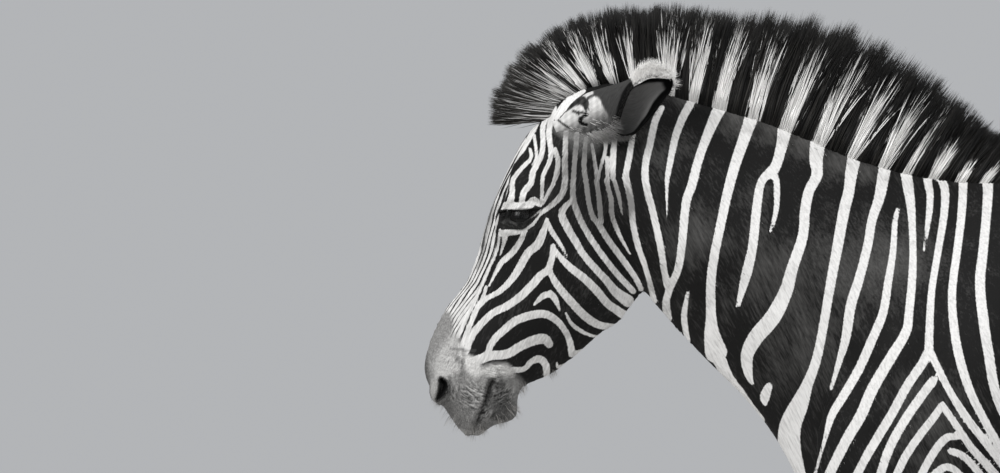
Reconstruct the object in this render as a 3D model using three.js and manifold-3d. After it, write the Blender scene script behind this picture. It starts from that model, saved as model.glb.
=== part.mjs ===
// A standing Grevy's zebra at life size, head carried low and tucked, in millimetres.
// +Z is up and the animal faces -X, so its left side is the -Y side. It is drawn with X = 0 under the
// withers and moved at the end, so that the origin is on the floor under the middle of its bounding box.
// The flesh is modelled whole from lofts and then parted into named pieces by thin cuts.

import * as THREE from "three";
import { mergeVertices } from "three/addons/utils/BufferGeometryUtils.js";
import Module from "manifold-3d";

const wasm = await Module();
wasm.setup();

// ---- Driving dimensions ----

const GAP = 0.35; // clearance between pieces that touch
const RAD = Math.PI / 180;

const HEAD_ORIGIN = [-756, 1660]; // poll: X and Z
const HEAD_TILT = 69.3 * RAD; // how far the nose points below the horizontal
const EYE = { s: 262, q: -13, y: 60, radius: 27 };
const NOSTRIL = { s: 602, q: -38 };
const MOUTH = { q: 43, corner: 556, end: 672, width: 3 };
const MUZZLE_FROM = 520; // how far along the head the muzzle starts

const STEP = { fore_left: 0, fore_right: 46, hind_left: 40, hind_right: -52 }; // hooves ahead or behind
const STEP_FROM = 900; // height above which a leg isn't moved by its step

const MANE_LOCKS = 54;
const MANE_LOCK = { halfWidth: 9, widening: 0.11, halfThick: 8.5 }; // widening by the hair's length
const MANE_ROWS = { root: 13, tip: 6 }; // how far out from the middle plane the two rows of locks stand
const MANE_BEND = 0.09; // how far a lock bends to the tail, as a share of the hair's length
const MANE_RAGGED = 0.04; // how much a lock's length and bend vary
const MANE_SWAY = 3; // how far a lock's tip may lean sideways
const MANE_CROWD = 0.85; // below 1 the locks stand closer together at the front
const MANE_STATIONS = [0.1, 0.4, 0.7, 0.9, 1]; // shares of a lock's length at which it is drawn
const MANE_CORE = 0.46; // height of the solid core as a share of the hair's length
const MANE_CORE_WIDTHS = [12, 20, 26, 28, 28]; // half widths of the core, from its top down
const MANE_DEPTH = 26; // how far the mane reaches below the crest before the neck is cut from it
const TAIL_LOCKS = 13;
const TAIL_LOCK = { halfWidth: 11, halfThick: 6, turn: 2.4, start: 16, ragged: 0.4 };
const TAIL_LOCK_DROP = 130; // how much lower the last lock starts than the first
const TAIL_LOCK_SHORT = 80; // how far above the tip the first lock ends
const TAIL_LOCK_IN = 4; // how far a lock runs inside the tuft's outline
const TAIL_LOCK_PATH = [[0, 0.4], [0.35, 1], [0.75, 1], [1, 1]]; // share of its length, share of the way out
const TUFT_CORE = 0.6; // breadth of the tuft's core as a share of the tuft's
const TUFT_CORE_ROWS = 4; // how many sections of the tuft its core fills

// ---- Tables of sections ----
// A section is cut between two points of the side view. Its half widths are given evenly spaced from the
// first point to the second, as the envelope of a rounded outline.

// From the poll over the neck to the buttocks: point on the top line, point on the under line, half widths.
const TRUNK = [
  { a: [-790, 1630], b: [-742, 1420], w: [16, 40, 52, 52, 34] },
  { a: [-752, 1662], b: [-690, 1352], w: [26, 58, 72, 72, 46] },
  { a: [-684, 1668], b: [-652, 1302], w: [30, 66, 84, 82, 52] },
  { a: [-600, 1646], b: [-622, 1264], w: [30, 66, 88, 84, 54] },
  { a: [-500, 1609], b: [-577, 1212], w: [30, 68, 92, 88, 56] },
  { a: [-400, 1572], b: [-522, 1155], w: [32, 76, 98, 94, 60] },
  { a: [-290, 1533], b: [-460, 1093], w: [34, 86, 110, 104, 68] },
  { a: [-175, 1497], b: [-405, 1022], w: [36, 100, 128, 122, 82] },
  { a: [-70, 1482], b: [-362, 940], w: [42, 122, 154, 150, 108] },
  { a: [30, 1484], b: [-338, 860], w: [52, 152, 186, 178, 128] },
  { a: [120, 1478], b: [-262, 796], w: [76, 190, 220, 196, 130] },
  { a: [210, 1462], b: [-110, 776], w: [104, 222, 248, 214, 136] },
  { a: [310, 1448], b: [70, 760], w: [138, 250, 272, 242, 150] },
  { a: [430, 1440], b: [270, 748], w: [160, 264, 286, 262, 160] },
  { a: [560, 1444], b: [470, 752], w: [172, 262, 282, 258, 152] },
  { a: [690, 1458], b: [640, 778], w: [178, 258, 266, 232, 136] },
  { a: [810, 1468], b: [780, 828], w: [182, 258, 256, 214, 120] },
  { a: [920, 1458], b: [890, 900], w: [176, 250, 248, 206, 110] },
  { a: [1020, 1424], b: [990, 990], w: [150, 226, 234, 192, 100] },
  { a: [1092, 1372], b: [1075, 1070], w: [112, 178, 198, 168, 84] },
  { a: [1132, 1300], b: [1122, 1140], w: [60, 100, 120, 100, 50] },
];

// The head, in its own frame: s runs from the poll to the lips, q from the face down to the jaw.
const HEAD = [
  { a: [-22, 40], b: [20, 108], w: [30, 52, 60, 52, 34] },
  { a: [40, -6], b: [52, 122], w: [44, 72, 78, 68, 42] },
  { a: [88, -45], b: [96, 140], w: [52, 86, 88, 80, 48] },
  { a: [130, -62], b: [134, 154], w: [56, 94, 94, 86, 50] },
  { a: [190, -69], b: [186, 178], w: [66, 102, 96, 90, 50] },
  { a: [250, -73], b: [246, 206], w: [72, 103, 97, 90, 48] },
  { a: [306, -71], b: [304, 236], w: [56, 94, 92, 84, 44] },
  { a: [357, -67], b: [357, 224], w: [40, 76, 86, 74, 38] },
  { a: [410, -69], b: [410, 193], w: [35, 64, 75, 63, 34] },
  { a: [460, -85], b: [460, 168], w: [32, 56, 64, 54, 31] },
  { a: [510, -91], b: [510, 136], w: [33, 53, 58, 50, 30] },
  { a: [548, -90], b: [545, 101], w: [38, 58, 58, 50, 32] },
  { a: [580, -83], b: [572, 99], w: [50, 66, 60, 54, 36] },
  { a: [604, -65], b: [596, 107], w: [52, 66, 60, 56, 36] },
  { a: [625, -36], b: [613, 99], w: [46, 60, 57, 53, 34] },
  { a: [643, -10], b: [629, 76], w: [36, 52, 52, 46, 30] },
  { a: [657, 10], b: [645, 64], w: [28, 42, 42, 36, 24] },
  { a: [665, 28], b: [656, 56], w: [14, 22, 22, 18, 12] },
];

// A leg section: front point, back point, distance of its centre from the middle plane, half widths.
const FORELEG = [
  { a: [-66, 1420], b: [70, 1412], y: 34, w: [14, 22, 14] },
  { a: [-180, 1290], b: [96, 1300], y: 92, w: [34, 58, 38] },
  { a: [-276, 1150], b: [84, 1176], y: 122, w: [50, 74, 50] },
  { a: [-334, 1026], b: [56, 1064], y: 134, w: [56, 78, 52] },
  { a: [-304, 914], b: [26, 954], y: 136, w: [56, 76, 52] },
  { a: [-228, 836], b: [4, 868], y: 133, w: [52, 68, 44] },
  { a: [-188, 766], b: [-40, 780], y: 128, w: [44, 58, 38] },
  { a: [-172, 690], b: [-58, 694], y: 121, w: [36, 49, 33] },
  { a: [-163, 610], b: [-70, 612], y: 116, w: [30, 41, 28] },
  { a: [-160, 545], b: [-73, 545], y: 113, w: [30, 39, 28] },
  { a: [-162, 495], b: [-70, 492], y: 111, w: [34, 42, 30] },
  { a: [-154, 445], b: [-80, 445], y: 110, w: [30, 36, 26] },
  { a: [-144, 395], b: [-85, 395], y: 109, w: [22, 27, 20] },
  { a: [-140, 320], b: [-85, 320], y: 108, w: [20, 25, 20] },
  { a: [-143, 268], b: [-80, 268], y: 107, w: [24, 29, 23] },
  { a: [-150, 232], b: [-74, 220], y: 106, w: [28, 34, 26] },
  { a: [-160, 196], b: [-90, 178], y: 106, w: [25, 31, 24] },
  { a: [-176, 156], b: [-114, 128], y: 106, w: [24, 30, 24] },
  { a: [-204, 92], b: [-122, 60], y: 106, w: [32, 40, 32] },
];

const HINDLEG = [
  { a: [812, 1380], b: [1030, 1376], y: 84, w: [24, 50, 26] },
  { a: [790, 1250], b: [1112, 1262], y: 126, w: [50, 88, 50] },
  { a: [760, 1110], b: [1144, 1150], y: 140, w: [62, 100, 62] },
  { a: [742, 980], b: [1134, 1020], y: 148, w: [64, 94, 58] },
  { a: [752, 880], b: [1098, 914], y: 152, w: [56, 80, 48] },
  { a: [800, 800], b: [1068, 828], y: 150, w: [46, 68, 38] },
  { a: [876, 728], b: [1070, 760], y: 142, w: [38, 56, 30] },
  { a: [948, 664], b: [1090, 700], y: 134, w: [32, 45, 22] },
  { a: [998, 606], b: [1120, 648], y: 128, w: [34, 42, 20] },
  { a: [1018, 560], b: [1136, 606], y: 125, w: [37, 45, 24] },
  { a: [1030, 516], b: [1128, 545], y: 123, w: [34, 42, 26] },
  { a: [1038, 465], b: [1112, 480], y: 122, w: [27, 33, 24] },
  { a: [1044, 380], b: [1104, 384], y: 121, w: [22, 27, 21] },
  { a: [1044, 300], b: [1104, 302], y: 121, w: [22, 27, 21] },
  { a: [1038, 250], b: [1110, 250], y: 121, w: [27, 32, 25] },
  { a: [1030, 224], b: [1112, 214], y: 121, w: [28, 34, 27] },
  { a: [1020, 190], b: [1094, 172], y: 121, w: [25, 31, 25] },
  { a: [1004, 152], b: [1070, 124], y: 121, w: [24, 30, 24] },
  { a: [978, 92], b: [1058, 60], y: 121, w: [31, 38, 31] },
];

// The lower sections of a hoof, widening to the ground. Its top follows the end of its leg.
const FORE_HOOF = [
  { a: [-223, 46], b: [-118, 28], y: 106, w: [39, 48, 39] },
  { a: [-240, 0], b: [-110, 0], y: 106, w: [42, 53, 44] },
];
const HIND_HOOF = [
  { a: [960, 46], b: [1062, 28], y: 121, w: [36, 45, 37] },
  { a: [943, 0], b: [1070, 0], y: 121, w: [38, 48, 40] },
];
const CORONET = 4; // how far the hoof's top stands out round the end of its leg

// Cuts across a leg, each from its front to its back.
const FORE_CUTS = [
  [[-300, 756], [20, 748]],
  [[-260, 560], [30, 550]],
  [[-250, 248], [10, 170]],
];
const HIND_CUTS = [
  [[745, 822], [1220, 893]],
  [[930, 634], [1220, 672]],
  [[930, 245], [1160, 163]],
];
const LEG_INSIDE = 12; // how near to the middle plane these cuts reach
const WIDE = 400; // further out than any flesh

const TUFT_FROM = 920; // height at which the tail's tuft starts

// The tail's fleshy dock, hanging clear of the buttocks: front point, back point, half width.
const DOCK = [
  { a: [1076, 1300], b: [1096, 1372], w: [34] },
  { a: [1122, 1292], b: [1150, 1350], w: [32] },
  { a: [1160, 1246], b: [1204, 1282], w: [28] },
  { a: [1176, 1180], b: [1222, 1192], w: [25] },
  { a: [1182, 1100], b: [1222, 1104], w: [22] },
  { a: [1184, 1010], b: [1218, 1012], w: [19] },
  { a: [1186, TUFT_FROM], b: [1214, TUFT_FROM], w: [16] },
];

// The whole of the tail's tuft, from where it starts round the dock down to its tip.
const TUFT = [
  { a: [1186, TUFT_FROM - GAP], b: [1214, TUFT_FROM - GAP], w: [16] },
  { a: [1172, 860], b: [1228, 860], w: [30] },
  { a: [1162, 790], b: [1238, 790], w: [40] },
  { a: [1160, 710], b: [1240, 710], w: [42] },
  { a: [1168, 640], b: [1232, 640], w: [34] },
  { a: [1180, 580], b: [1218, 580], w: [20] },
  { a: [1192, 536], b: [1204, 536], w: [6] },
];

// The mane's roots along the crest, with the hair's direction (0 is towards the tail, 90 up) and length.
const MANE = [
  { root: [-806, 1600], lie: 186, length: 112 },
  { root: [-792, 1626], lie: 168, length: 122 },
  { root: [-768, 1650], lie: 143, length: 124 },
  { root: [-732, 1664], lie: 119, length: 126 },
  { root: [-680, 1666], lie: 103, length: 140 },
  { root: [-622, 1652], lie: 91, length: 158 },
  { root: [-556, 1629], lie: 81, length: 178 },
  { root: [-488, 1604], lie: 73, length: 196 },
  { root: [-418, 1578], lie: 66, length: 230 },
  { root: [-346, 1552], lie: 60, length: 238 },
  { root: [-272, 1527], lie: 56, length: 226 },
  { root: [-200, 1503], lie: 52, length: 204 },
  { root: [-128, 1487], lie: 48, length: 164 },
  { root: [-56, 1481], lie: 44, length: 122 },
  { root: [16, 1482], lie: 40, length: 78 },
  { root: [84, 1480], lie: 34, length: 54 },
];
const MANE_CUTS = [0.17, 0.36, 0.6]; // shares of the crest at which the mane is parted

// Forms that stand out of the head on both sides: centre (s, y, q) and radii in the head's own frame.
const BULGES = [
  { at: [250, 50, -23], radii: [72, 32, 38], segments: 10 }, // brow
  { at: [262, 58, -11], radii: [40, 31, 36], segments: 12 }, // lids
  { at: [372, 56, 26], radii: [86, 20, 14], segments: 8 }, // facial crest
  { at: [598, 32, -33], radii: [42, 34, 30], segments: 10 }, // flared nostril
  { at: [70, 34, 30], radii: [60, 40, 60], segments: 10 }, // base of the ear
];

// An ear: distance along it in the side view, how far below its axis its edges lie, half depth of the cup.
const EAR = [
  { along: -30, upper: -3, lower: 43, depth: 27 },
  { along: 12, upper: -16, lower: 58, depth: 33 },
  { along: 56, upper: -21, lower: 70, depth: 37 },
  { along: 92, upper: -17, lower: 77, depth: 38 },
  { along: 124, upper: -15, lower: 67, depth: 36 },
  { along: 155, upper: -20, lower: 52, depth: 30 },
  { along: 182, upper: -10, lower: 36, depth: 20 },
  { along: 202, upper: 8, lower: 19, depth: 6 },
];
const EAR_ROOT = { x: -776, out: 52, z: 1606 };
const EAR_TILT = 23.3 * RAD; // how steeply it rises towards its tip
const EAR_SPLAY = 0.385; // how far it leans outwards for each millimetre along
const EAR_WALL = 5;
const EAR_HOLLOW = { from: 62, to: 192 }; // where along the ear its cup starts and ends
const EAR_HOLLOW_SHAPE = [[0, 0.25], [0.12, 0.7], [0.35, 0.98], [0.7, 1], [0.9, 0.85], [1, 0.4]]; // breadth
const EAR_RIMS = { low: 20 * RAD, near: 110 * RAD }; // from the lower edge over the near side
const EAR_OPEN = { below: 14, out: 60 }; // how far the tool that opens the cup reaches past its rims
const EAR_SIDES = 12;

// ---- Materials ----

const COAT_WHITE = new THREE.MeshStandardMaterial({ color: 0xdedcd8, roughness: 0.85, metalness: 0 });
const MANE_HAIR = new THREE.MeshStandardMaterial({ color: 0x2a2827, roughness: 0.8, metalness: 0 });
const MUZZLE_SKIN = new THREE.MeshStandardMaterial({ color: 0x6c6966, roughness: 0.75, metalness: 0 });
const HOOF_HORN = new THREE.MeshStandardMaterial({ color: 0x2e2a27, roughness: 0.45, metalness: 0 });
const EYE_GLASS = new THREE.MeshStandardMaterial({ color: 0x120d0a, roughness: 0.08, metalness: 0 });

// ---- Shaping helpers ----

// Smooth value at u (0 to 1) through evenly spaced numbers.
function spline(values, u) {
  if (values.length === 1) return values[0];
  const x = Math.min(Math.max(u, 0), 1) * (values.length - 1);
  const i = Math.min(Math.floor(x), values.length - 2);
  const t = x - i;
  const at = (k) => values[Math.min(Math.max(k, 0), values.length - 1)];
  const [p0, p1, p2, p3] = [at(i - 1), at(i), at(i + 1), at(i + 2)];
  const m1 = (p2 - p0) / 2;
  const m2 = (p3 - p1) / 2;
  const d = p2 - p1;
  return p1 + t * (m1 + t * (3 * d - 2 * m1 - m2 + t * (m1 + m2 - 2 * d)));
}

// A closed geometry from rings of points, each ring with as many points, closed by a fan at both ends.
function skinRings(rings) {
  const count = rings[0].length;
  const points = rings.flat();
  const faces = [];
  for (let r = 0; r + 1 < rings.length; r++)
    for (let k = 0; k < count; k++) {
      const next = (k + 1) % count;
      const [a, b] = [r * count + k, r * count + next];
      faces.push(a, b, b + count, a, b + count, a + count);
    }
  [0, rings.length - 1].forEach((r, end) => {
    const middle = new THREE.Vector3();
    rings[r].forEach((p) => middle.addScaledVector(p, 1 / count));
    points.push(middle);
    for (let k = 0; k < count; k++) {
      const [a, b] = [r * count + k, r * count + ((k + 1) % count)];
      faces.push(points.length - 1, end ? a : b, end ? b : a);
    }
  });
  const geometry = new THREE.BufferGeometry().setFromPoints(points);
  geometry.setIndex(faces);
  return geometry;
}

const asDrawn = (x, y, z) => new THREE.Vector3(x, y, z);

// The rings of a loft through a table of sections. side is 1 or -1 for a limb, grow adds to every side.
function sectionRings(table, { per = 1, sides = 20, side = 1, grow = 0, place = asDrawn } = {}) {
  const steps = (table.length - 1) * per;
  const column = (pick) => table.map(pick);
  const [ax, az] = [column((s) => s.a[0]), column((s) => s.a[1])];
  const [bx, bz] = [column((s) => s.b[0]), column((s) => s.b[1])];
  const middle = column((s) => s.y ?? 0);
  const widths = table[0].w.map((_, k) => column((s) => s.w[k]));
  return Array.from({ length: steps + 1 }, (_, r) => {
    const u = r / steps;
    const a = new THREE.Vector2(spline(ax, u), spline(az, u));
    const b = new THREE.Vector2(spline(bx, u), spline(bz, u));
    const out = a.clone().sub(b).normalize().multiplyScalar(grow);
    a.add(out);
    b.sub(out);
    const envelope = widths.map((w) => spline(w, u) + grow);
    return Array.from({ length: sides }, (_, k) => {
      const turn = (2 * Math.PI * k) / sides;
      const share = (1 - Math.cos(turn)) / 2;
      const half = Math.sin(turn) * spline(envelope, share);
      const x = a.x + (b.x - a.x) * share;
      const z = a.y + (b.y - a.y) * share;
      return place(x, side * spline(middle, u) + half, z);
    });
  });
}

// A three.js geometry as a manifold solid, turned the right way out.
function solid(geometry) {
  const bare = geometry.clone();
  bare.deleteAttribute("normal");
  bare.deleteAttribute("uv");
  const merged = mergeVertices(bare, 1e-3);
  const vertProperties = new Float32Array(merged.attributes.position.array);
  const triVerts = new Uint32Array(merged.index.array);
  const made = new wasm.Manifold(new wasm.Mesh({ numProp: 3, vertProperties, triVerts }));
  if (made.volume() > 0) return made;
  for (let i = 0; i < triVerts.length; i += 3) {
    [triVerts[i + 1], triVerts[i + 2]] = [triVerts[i + 2], triVerts[i + 1]];
  }
  return new wasm.Manifold(new wasm.Mesh({ numProp: 3, vertProperties, triVerts }));
}

const loft = (table, options) => solid(skinRings(sectionRings(table, options)));
const unite = (solids) => solids.reduce((sum, piece) => sum.add(piece));
const cut = (body, tools) => tools.reduce((left, tool) => left.subtract(tool), body);
const largest = (body) => body.decompose().reduce((best, b) => (b.volume() > best.volume() ? b : best));

function geometryOf(body) {
  const mesh = body.getMesh();
  const geometry = new THREE.BufferGeometry();
  geometry.setAttribute("position", new THREE.BufferAttribute(new Float32Array(mesh.vertProperties), 3));
  geometry.setIndex(new THREE.BufferAttribute(new Uint32Array(mesh.triVerts), 1));
  geometry.computeVertexNormals();
  return geometry;
}

// An ellipsoid with its half axes along the columns of a basis.
function ellipsoid(centre, radii, basis = new THREE.Matrix4(), segments = 14) {
  const matrix = basis.clone().scale(new THREE.Vector3(...radii)).setPosition(centre);
  return solid(new THREE.SphereGeometry(1, segments, Math.round(segments * 0.7)).applyMatrix4(matrix));
}

// A plate from an outline in the XZ plane, y0 to y1 thick.
function plate(outline, y0, y1) {
  const shape = new THREE.Shape(outline.map(([x, z]) => new THREE.Vector2(x, z)));
  const geometry = new THREE.ExtrudeGeometry(shape, { depth: y1 - y0, bevelEnabled: false });
  geometry.rotateX(Math.PI / 2); // the outline's second axis becomes Z and its depth runs towards -Y
  return solid(geometry.translate(0, y1, 0));
}

// A thin slab along a line of the side view, from one point to another, y0 to y1 across.
function slab([x0, z0], [x1, z1], y0, y1, thick = GAP) {
  const across = new THREE.Vector2(z0 - z1, x1 - x0).normalize().multiplyScalar(thick / 2);
  const corner = (x, z, sign) => [x + sign * across.x, z + sign * across.y];
  return plate([corner(x0, z0, 1), corner(x1, z1, 1), corner(x1, z1, -1), corner(x0, z0, -1)], y0, y1);
}

// Seeded random numbers from -1 to 1.
function randomFrom(seed) {
  let state = seed;
  return () => {
    state = (state * 1664525 + 1013904223) % 4294967296;
    return state / 2147483648 - 1;
  };
}

// A flat, tapered lock along a list of points, broad along `broad`, with the given half sizes at its root.
function lock(path, broad, halfWidth, halfThick) {
  const last = path.length - 1;
  const rings = path.slice(0, last).map((point, i) => {
    const along = path[i + 1].clone().sub(path[Math.max(i - 1, 0)]).normalize();
    const thin = new THREE.Vector3().crossVectors(along, broad).normalize();
    const wide = new THREE.Vector3().crossVectors(thin, along).normalize();
    const taper = Math.sqrt(1 - i / last);
    const corner = (w, t) =>
      point.clone().addScaledVector(wide, w * halfWidth * taper).addScaledVector(thin, t * halfThick * taper);
    return [corner(1, 0), corner(0, 1), corner(-1, 0), corner(0, -1)];
  });
  const tip = path[last];
  rings.push(rings[last - 1].map((p) => p.clone().lerp(tip, 0.94)));
  return solid(skinRings(rings));
}

// ---- Flesh ----

const headFrame = {
  along: new THREE.Vector2(-Math.cos(HEAD_TILT), -Math.sin(HEAD_TILT)),
  across: new THREE.Vector2(Math.sin(HEAD_TILT), -Math.cos(HEAD_TILT)),
};

// A point of the head's own frame (s along, y sideways, q across) in the animal's frame.
function headPoint(s, y, q) {
  const { along, across } = headFrame;
  return new THREE.Vector3(
    HEAD_ORIGIN[0] + s * along.x + q * across.x,
    y,
    HEAD_ORIGIN[1] + s * along.y + q * across.y,
  );
}

const headBasis = new THREE.Matrix4().makeBasis(
  new THREE.Vector3(headFrame.along.x, 0, headFrame.along.y),
  new THREE.Vector3(0, 1, 0),
  new THREE.Vector3(headFrame.across.x, 0, headFrame.across.y),
);

// A plate from an outline in the head's frame, from y0 to y1.
function headPlate(outline, y0, y1) {
  return plate(outline.map(([s, q]) => headPoint(s, 0, q)).map((p) => [p.x, p.z]), y0, y1);
}

// Both sides of something built for side 1 and -1.
const bothSides = (build) => [-1, 1].map(build);

function headForm(grow = 0) {
  const bulges = BULGES.flatMap(({ at: [s, y, q], radii, segments }) => {
    const grown = radii.map((radius) => radius + grow);
    return bothSides((side) => ellipsoid(headPoint(s, side * y, q), grown, headBasis, segments));
  });
  return unite([loft(HEAD, { sides: 24, grow, place: headPoint }), ...bulges]);
}

function eyeball(side, radius) {
  return ellipsoid(headPoint(EYE.s, side * EYE.y, EYE.q), [radius, radius, radius], headBasis, 14);
}

// The head with its eye sockets, the slits between the lids and the nostrils cut in.
function makeHead() {
  const betweenLids = [[-9, -27], [-10, -8], [-8, 10], [-2, 27], [8, 16], [13, 1], [11, -15], [2, -28]];
  const nostril = [[-22, 2], [-14, 11], [-2, 12], [10, 5], [22, -4], [8, -5], [-10, -6]];
  const opening = (shape, place, depth, side) => {
    const outline = shape.map(([s, q]) => [place.s + s, place.q + q]);
    return side < 0 ? headPlate(outline, -WIDE, -depth) : headPlate(outline, depth, WIDE);
  };
  return cut(headForm(), bothSides((side) => [
    opening(betweenLids, EYE, EYE.y + 4, side),
    opening(nostril, NOSTRIL, 38, side),
    eyeball(side, EYE.radius + GAP),
  ]).flat());
}

// Moves a leg's lower sections along the body by its step.
const moved = ([x, z], step) => [x + step * Math.max(0, 1 - z / STEP_FROM), z];
const stepped = (table, step) => table.map((s) => ({ ...s, a: moved(s.a, step), b: moved(s.b, step) }));

const LEGS = bothSides((side) => {
  const hand = side < 0 ? "left" : "right";
  const leg = (pair, table, hoof, cuts) => {
    const name = `${pair}_${hand}`;
    const step = STEP[name];
    return { name, side, step, table: stepped(table, step), hoof: stepped(hoof, step), cuts };
  };
  return [leg("fore", FORELEG, FORE_HOOF, FORE_CUTS), leg("hind", HINDLEG, HIND_HOOF, HIND_CUTS)];
}).flat();

function makeHoof({ table, hoof, side }) {
  const end = table.at(-1);
  const [a, b] = [new THREE.Vector2(...end.a), new THREE.Vector2(...end.b)];
  const along = b.clone().sub(a).normalize();
  const down = new THREE.Vector2(along.y, -along.x).multiplyScalar(GAP);
  const top = {
    a: a.addScaledVector(along, -CORONET).add(down).toArray(),
    b: b.addScaledVector(along, CORONET).add(down).toArray(),
    y: end.y,
    w: end.w.map((w) => w + CORONET),
  };
  return loft([top, ...hoof], { per: 2, sides: 14, side });
}

const trunkForm = (grow = 0) => loft(TRUNK, { sides: 32, grow });
const flesh = unite([
  trunkForm(),
  makeHead(),
  ...LEGS.map((leg) => loft(leg.table, { sides: 14, side: leg.side })),
  loft(DOCK, { sides: 12 }),
]);

// ---- Parting the flesh ----

const jawCut = [
  [MOUTH.end, MOUTH.q - MOUTH.width / 2],
  [MOUTH.corner, MOUTH.q - 0.5],
  [420, 96],
  [150, 132],
  [60, 170],
  [60, 170 + GAP],
  [150, 132 + GAP],
  [420, 96 + GAP],
  [MOUTH.corner, MOUTH.q + 0.5],
  [MOUTH.end, MOUTH.q + MOUTH.width / 2],
];

const muzzleCut = [
  [MUZZLE_FROM, -140],
  [MUZZLE_FROM, 200],
  [MUZZLE_FROM + GAP, 200],
  [MUZZLE_FROM + GAP, -140],
];

function legCuts({ cuts, step, side }) {
  const across = side < 0 ? [-WIDE, -LEG_INSIDE] : [LEG_INSIDE, WIDE];
  return cuts.map(([front, back]) => slab(moved(front, step), moved(back, step), ...across));
}

const pieces = cut(flesh, [
  slab([-708, 1740], [-634, 1240], -WIDE, WIDE), // head from neck
  headPlate(jawCut, -WIDE, WIDE), // lower jaw from head
  headPlate(muzzleCut, -WIDE, WIDE), // muzzle and chin from head and jaw
  slab([-120, 1560], [-420, 930], -WIDE, WIDE), // neck from chest
  slab([250, 1560], [250, 700], -WIDE, WIDE), // chest from barrel
  slab([700, 1560], [700, 700], -WIDE, WIDE), // barrel from rump
  slab([1131, 1254], [1192, 1338], -WIDE, WIDE), // dock from rump
  ...LEGS.flatMap(legCuts),
]).decompose();

// The piece whose box is centred nearest to a point.
function pieceNear(point) {
  const distance = (piece) => {
    const { min, max } = piece.boundingBox();
    return Math.hypot(...point.map((value, k) => value - (min[k] + max[k]) / 2));
  };
  return pieces.reduce((best, piece) => (distance(piece) < distance(best) ? piece : best));
}

// ---- Ears ----

// A point of an ear: along it and below its axis in the side view, and out from the axis.
function earPoint(side, along, below, out) {
  const [cos, sin] = [Math.cos(EAR_TILT), Math.sin(EAR_TILT)];
  return new THREE.Vector3(
    EAR_ROOT.x + along * cos + below * sin,
    side * (EAR_ROOT.out + EAR_SPLAY * along + out),
    EAR_ROOT.z + along * sin - below * cos,
  );
}

// Rings of an ear, grown by an amount. Between the rims they can reach further, to open the cup.
function earRings(side, table, grow, open = { below: 0, out: 0 }) {
  return table.map(({ along, upper, lower, depth }) => Array.from({ length: EAR_SIDES }, (_, k) => {
    const turn = (2 * Math.PI * k) / EAR_SIDES;
    const reach = turn > EAR_RIMS.low && turn < EAR_RIMS.near ? 1 : 0;
    const below = (upper + lower) / 2 + ((lower - upper) / 2 + grow) * Math.cos(turn) + reach * open.below;
    return earPoint(side, along, below, (depth + grow) * Math.sin(turn) + reach * open.out);
  }));
}

const earForm = (side, grow = 0) => solid(skinRings(earRings(side, EAR, grow)));

// The ear's section at a distance along it, with its breadth scaled.
function earAt(along, scale) {
  const i = EAR.findIndex((_, k) => EAR[k + 1].along >= along);
  const [low, high] = [EAR[i], EAR[i + 1]];
  const t = (along - low.along) / (high.along - low.along);
  const between = (key) => THREE.MathUtils.lerp(low[key], high[key], t);
  const middle = (between("upper") + between("lower")) / 2;
  const half = (scale * (between("lower") - between("upper"))) / 2;
  return { along, upper: middle - half, lower: middle + half, depth: between("depth") };
}

function makeEar(side) {
  const { from, to } = EAR_HOLLOW;
  const table = EAR_HOLLOW_SHAPE.map(([share, scale]) => earAt(from + (to - from) * share, scale));
  const hollow = solid(skinRings(earRings(side, table, -EAR_WALL, EAR_OPEN)));
  return largest(cut(earForm(side), [hollow, headForm(GAP), trunkForm(GAP)]));
}

// ---- Mane and tail ----

// The root, the direction of the hair and its length, a share of the way along the crest.
function crest(u) {
  const column = (pick) => spline(MANE.map(pick), u);
  const lie = column((m) => m.lie) * RAD;
  return {
    root: new THREE.Vector3(column((m) => m.root[0]), 0, column((m) => m.root[1])),
    lie: new THREE.Vector3(Math.cos(lie), 0, Math.sin(lie)),
    length: column((m) => m.length),
  };
}

// A smooth form over the crest, reaching a share of the hair's length.
function maneForm(reach) {
  const table = MANE.map((_, i) => {
    const { root, lie, length } = crest(i / (MANE.length - 1));
    const top = root.clone().addScaledVector(lie, length * reach);
    const bottom = root.clone().addScaledVector(lie, -MANE_DEPTH);
    return { a: [top.x, top.z], b: [bottom.x, bottom.z], w: MANE_CORE_WIDTHS };
  });
  return loft(table, { sides: 10 });
}

function maneCut(u) {
  const { root, lie } = crest(u);
  const low = root.clone().addScaledVector(lie, -80);
  const high = root.clone().addScaledVector(lie, 300);
  return slab([low.x, low.z], [high.x, high.z], -WIDE, WIDE);
}

// Broad, tapered locks in two rows over the core, closer together at the front, each bending to the tail.
function maneLocks() {
  const random = randomFrom(11);
  return Array.from({ length: MANE_LOCKS }, (_, i) => {
    const { root, lie, length } = crest(1 - (1 - (i + 0.5) / MANE_LOCKS) ** MANE_CROWD);
    const row = i % 2 ? 1 : -1;
    const broad = new THREE.Vector3(lie.z, 0, -lie.x);
    const tall = length * (1 + MANE_RAGGED * (random() - 0.25));
    const bend = length * (MANE_BEND + MANE_RAGGED * random());
    const sway = MANE_SWAY * random();
    const path = MANE_STATIONS.map((share) => {
      const point = root.clone().addScaledVector(lie, tall * share);
      point.addScaledVector(broad, bend * (share * share - 0.5));
      return point.setY(row * THREE.MathUtils.lerp(MANE_ROWS.root, MANE_ROWS.tip, share) + sway * share);
    });
    return lock(path, broad, MANE_LOCK.halfWidth + MANE_LOCK.widening * length, MANE_LOCK.halfThick);
  });
}

const mane = cut(unite([maneForm(MANE_CORE), ...maneLocks()]), [
  trunkForm(GAP),
  headForm(GAP),
  ...bothSides((side) => earForm(side, GAP)),
  ...MANE_CUTS.map(maneCut),
]).decompose();
const maneNodes = mane.sort((p, q) => q.volume() - p.volume()).slice(0, MANE_CUTS.length + 1);
maneNodes.sort((p, q) => p.boundingBox().max[0] - q.boundingBox().max[0]);

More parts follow.
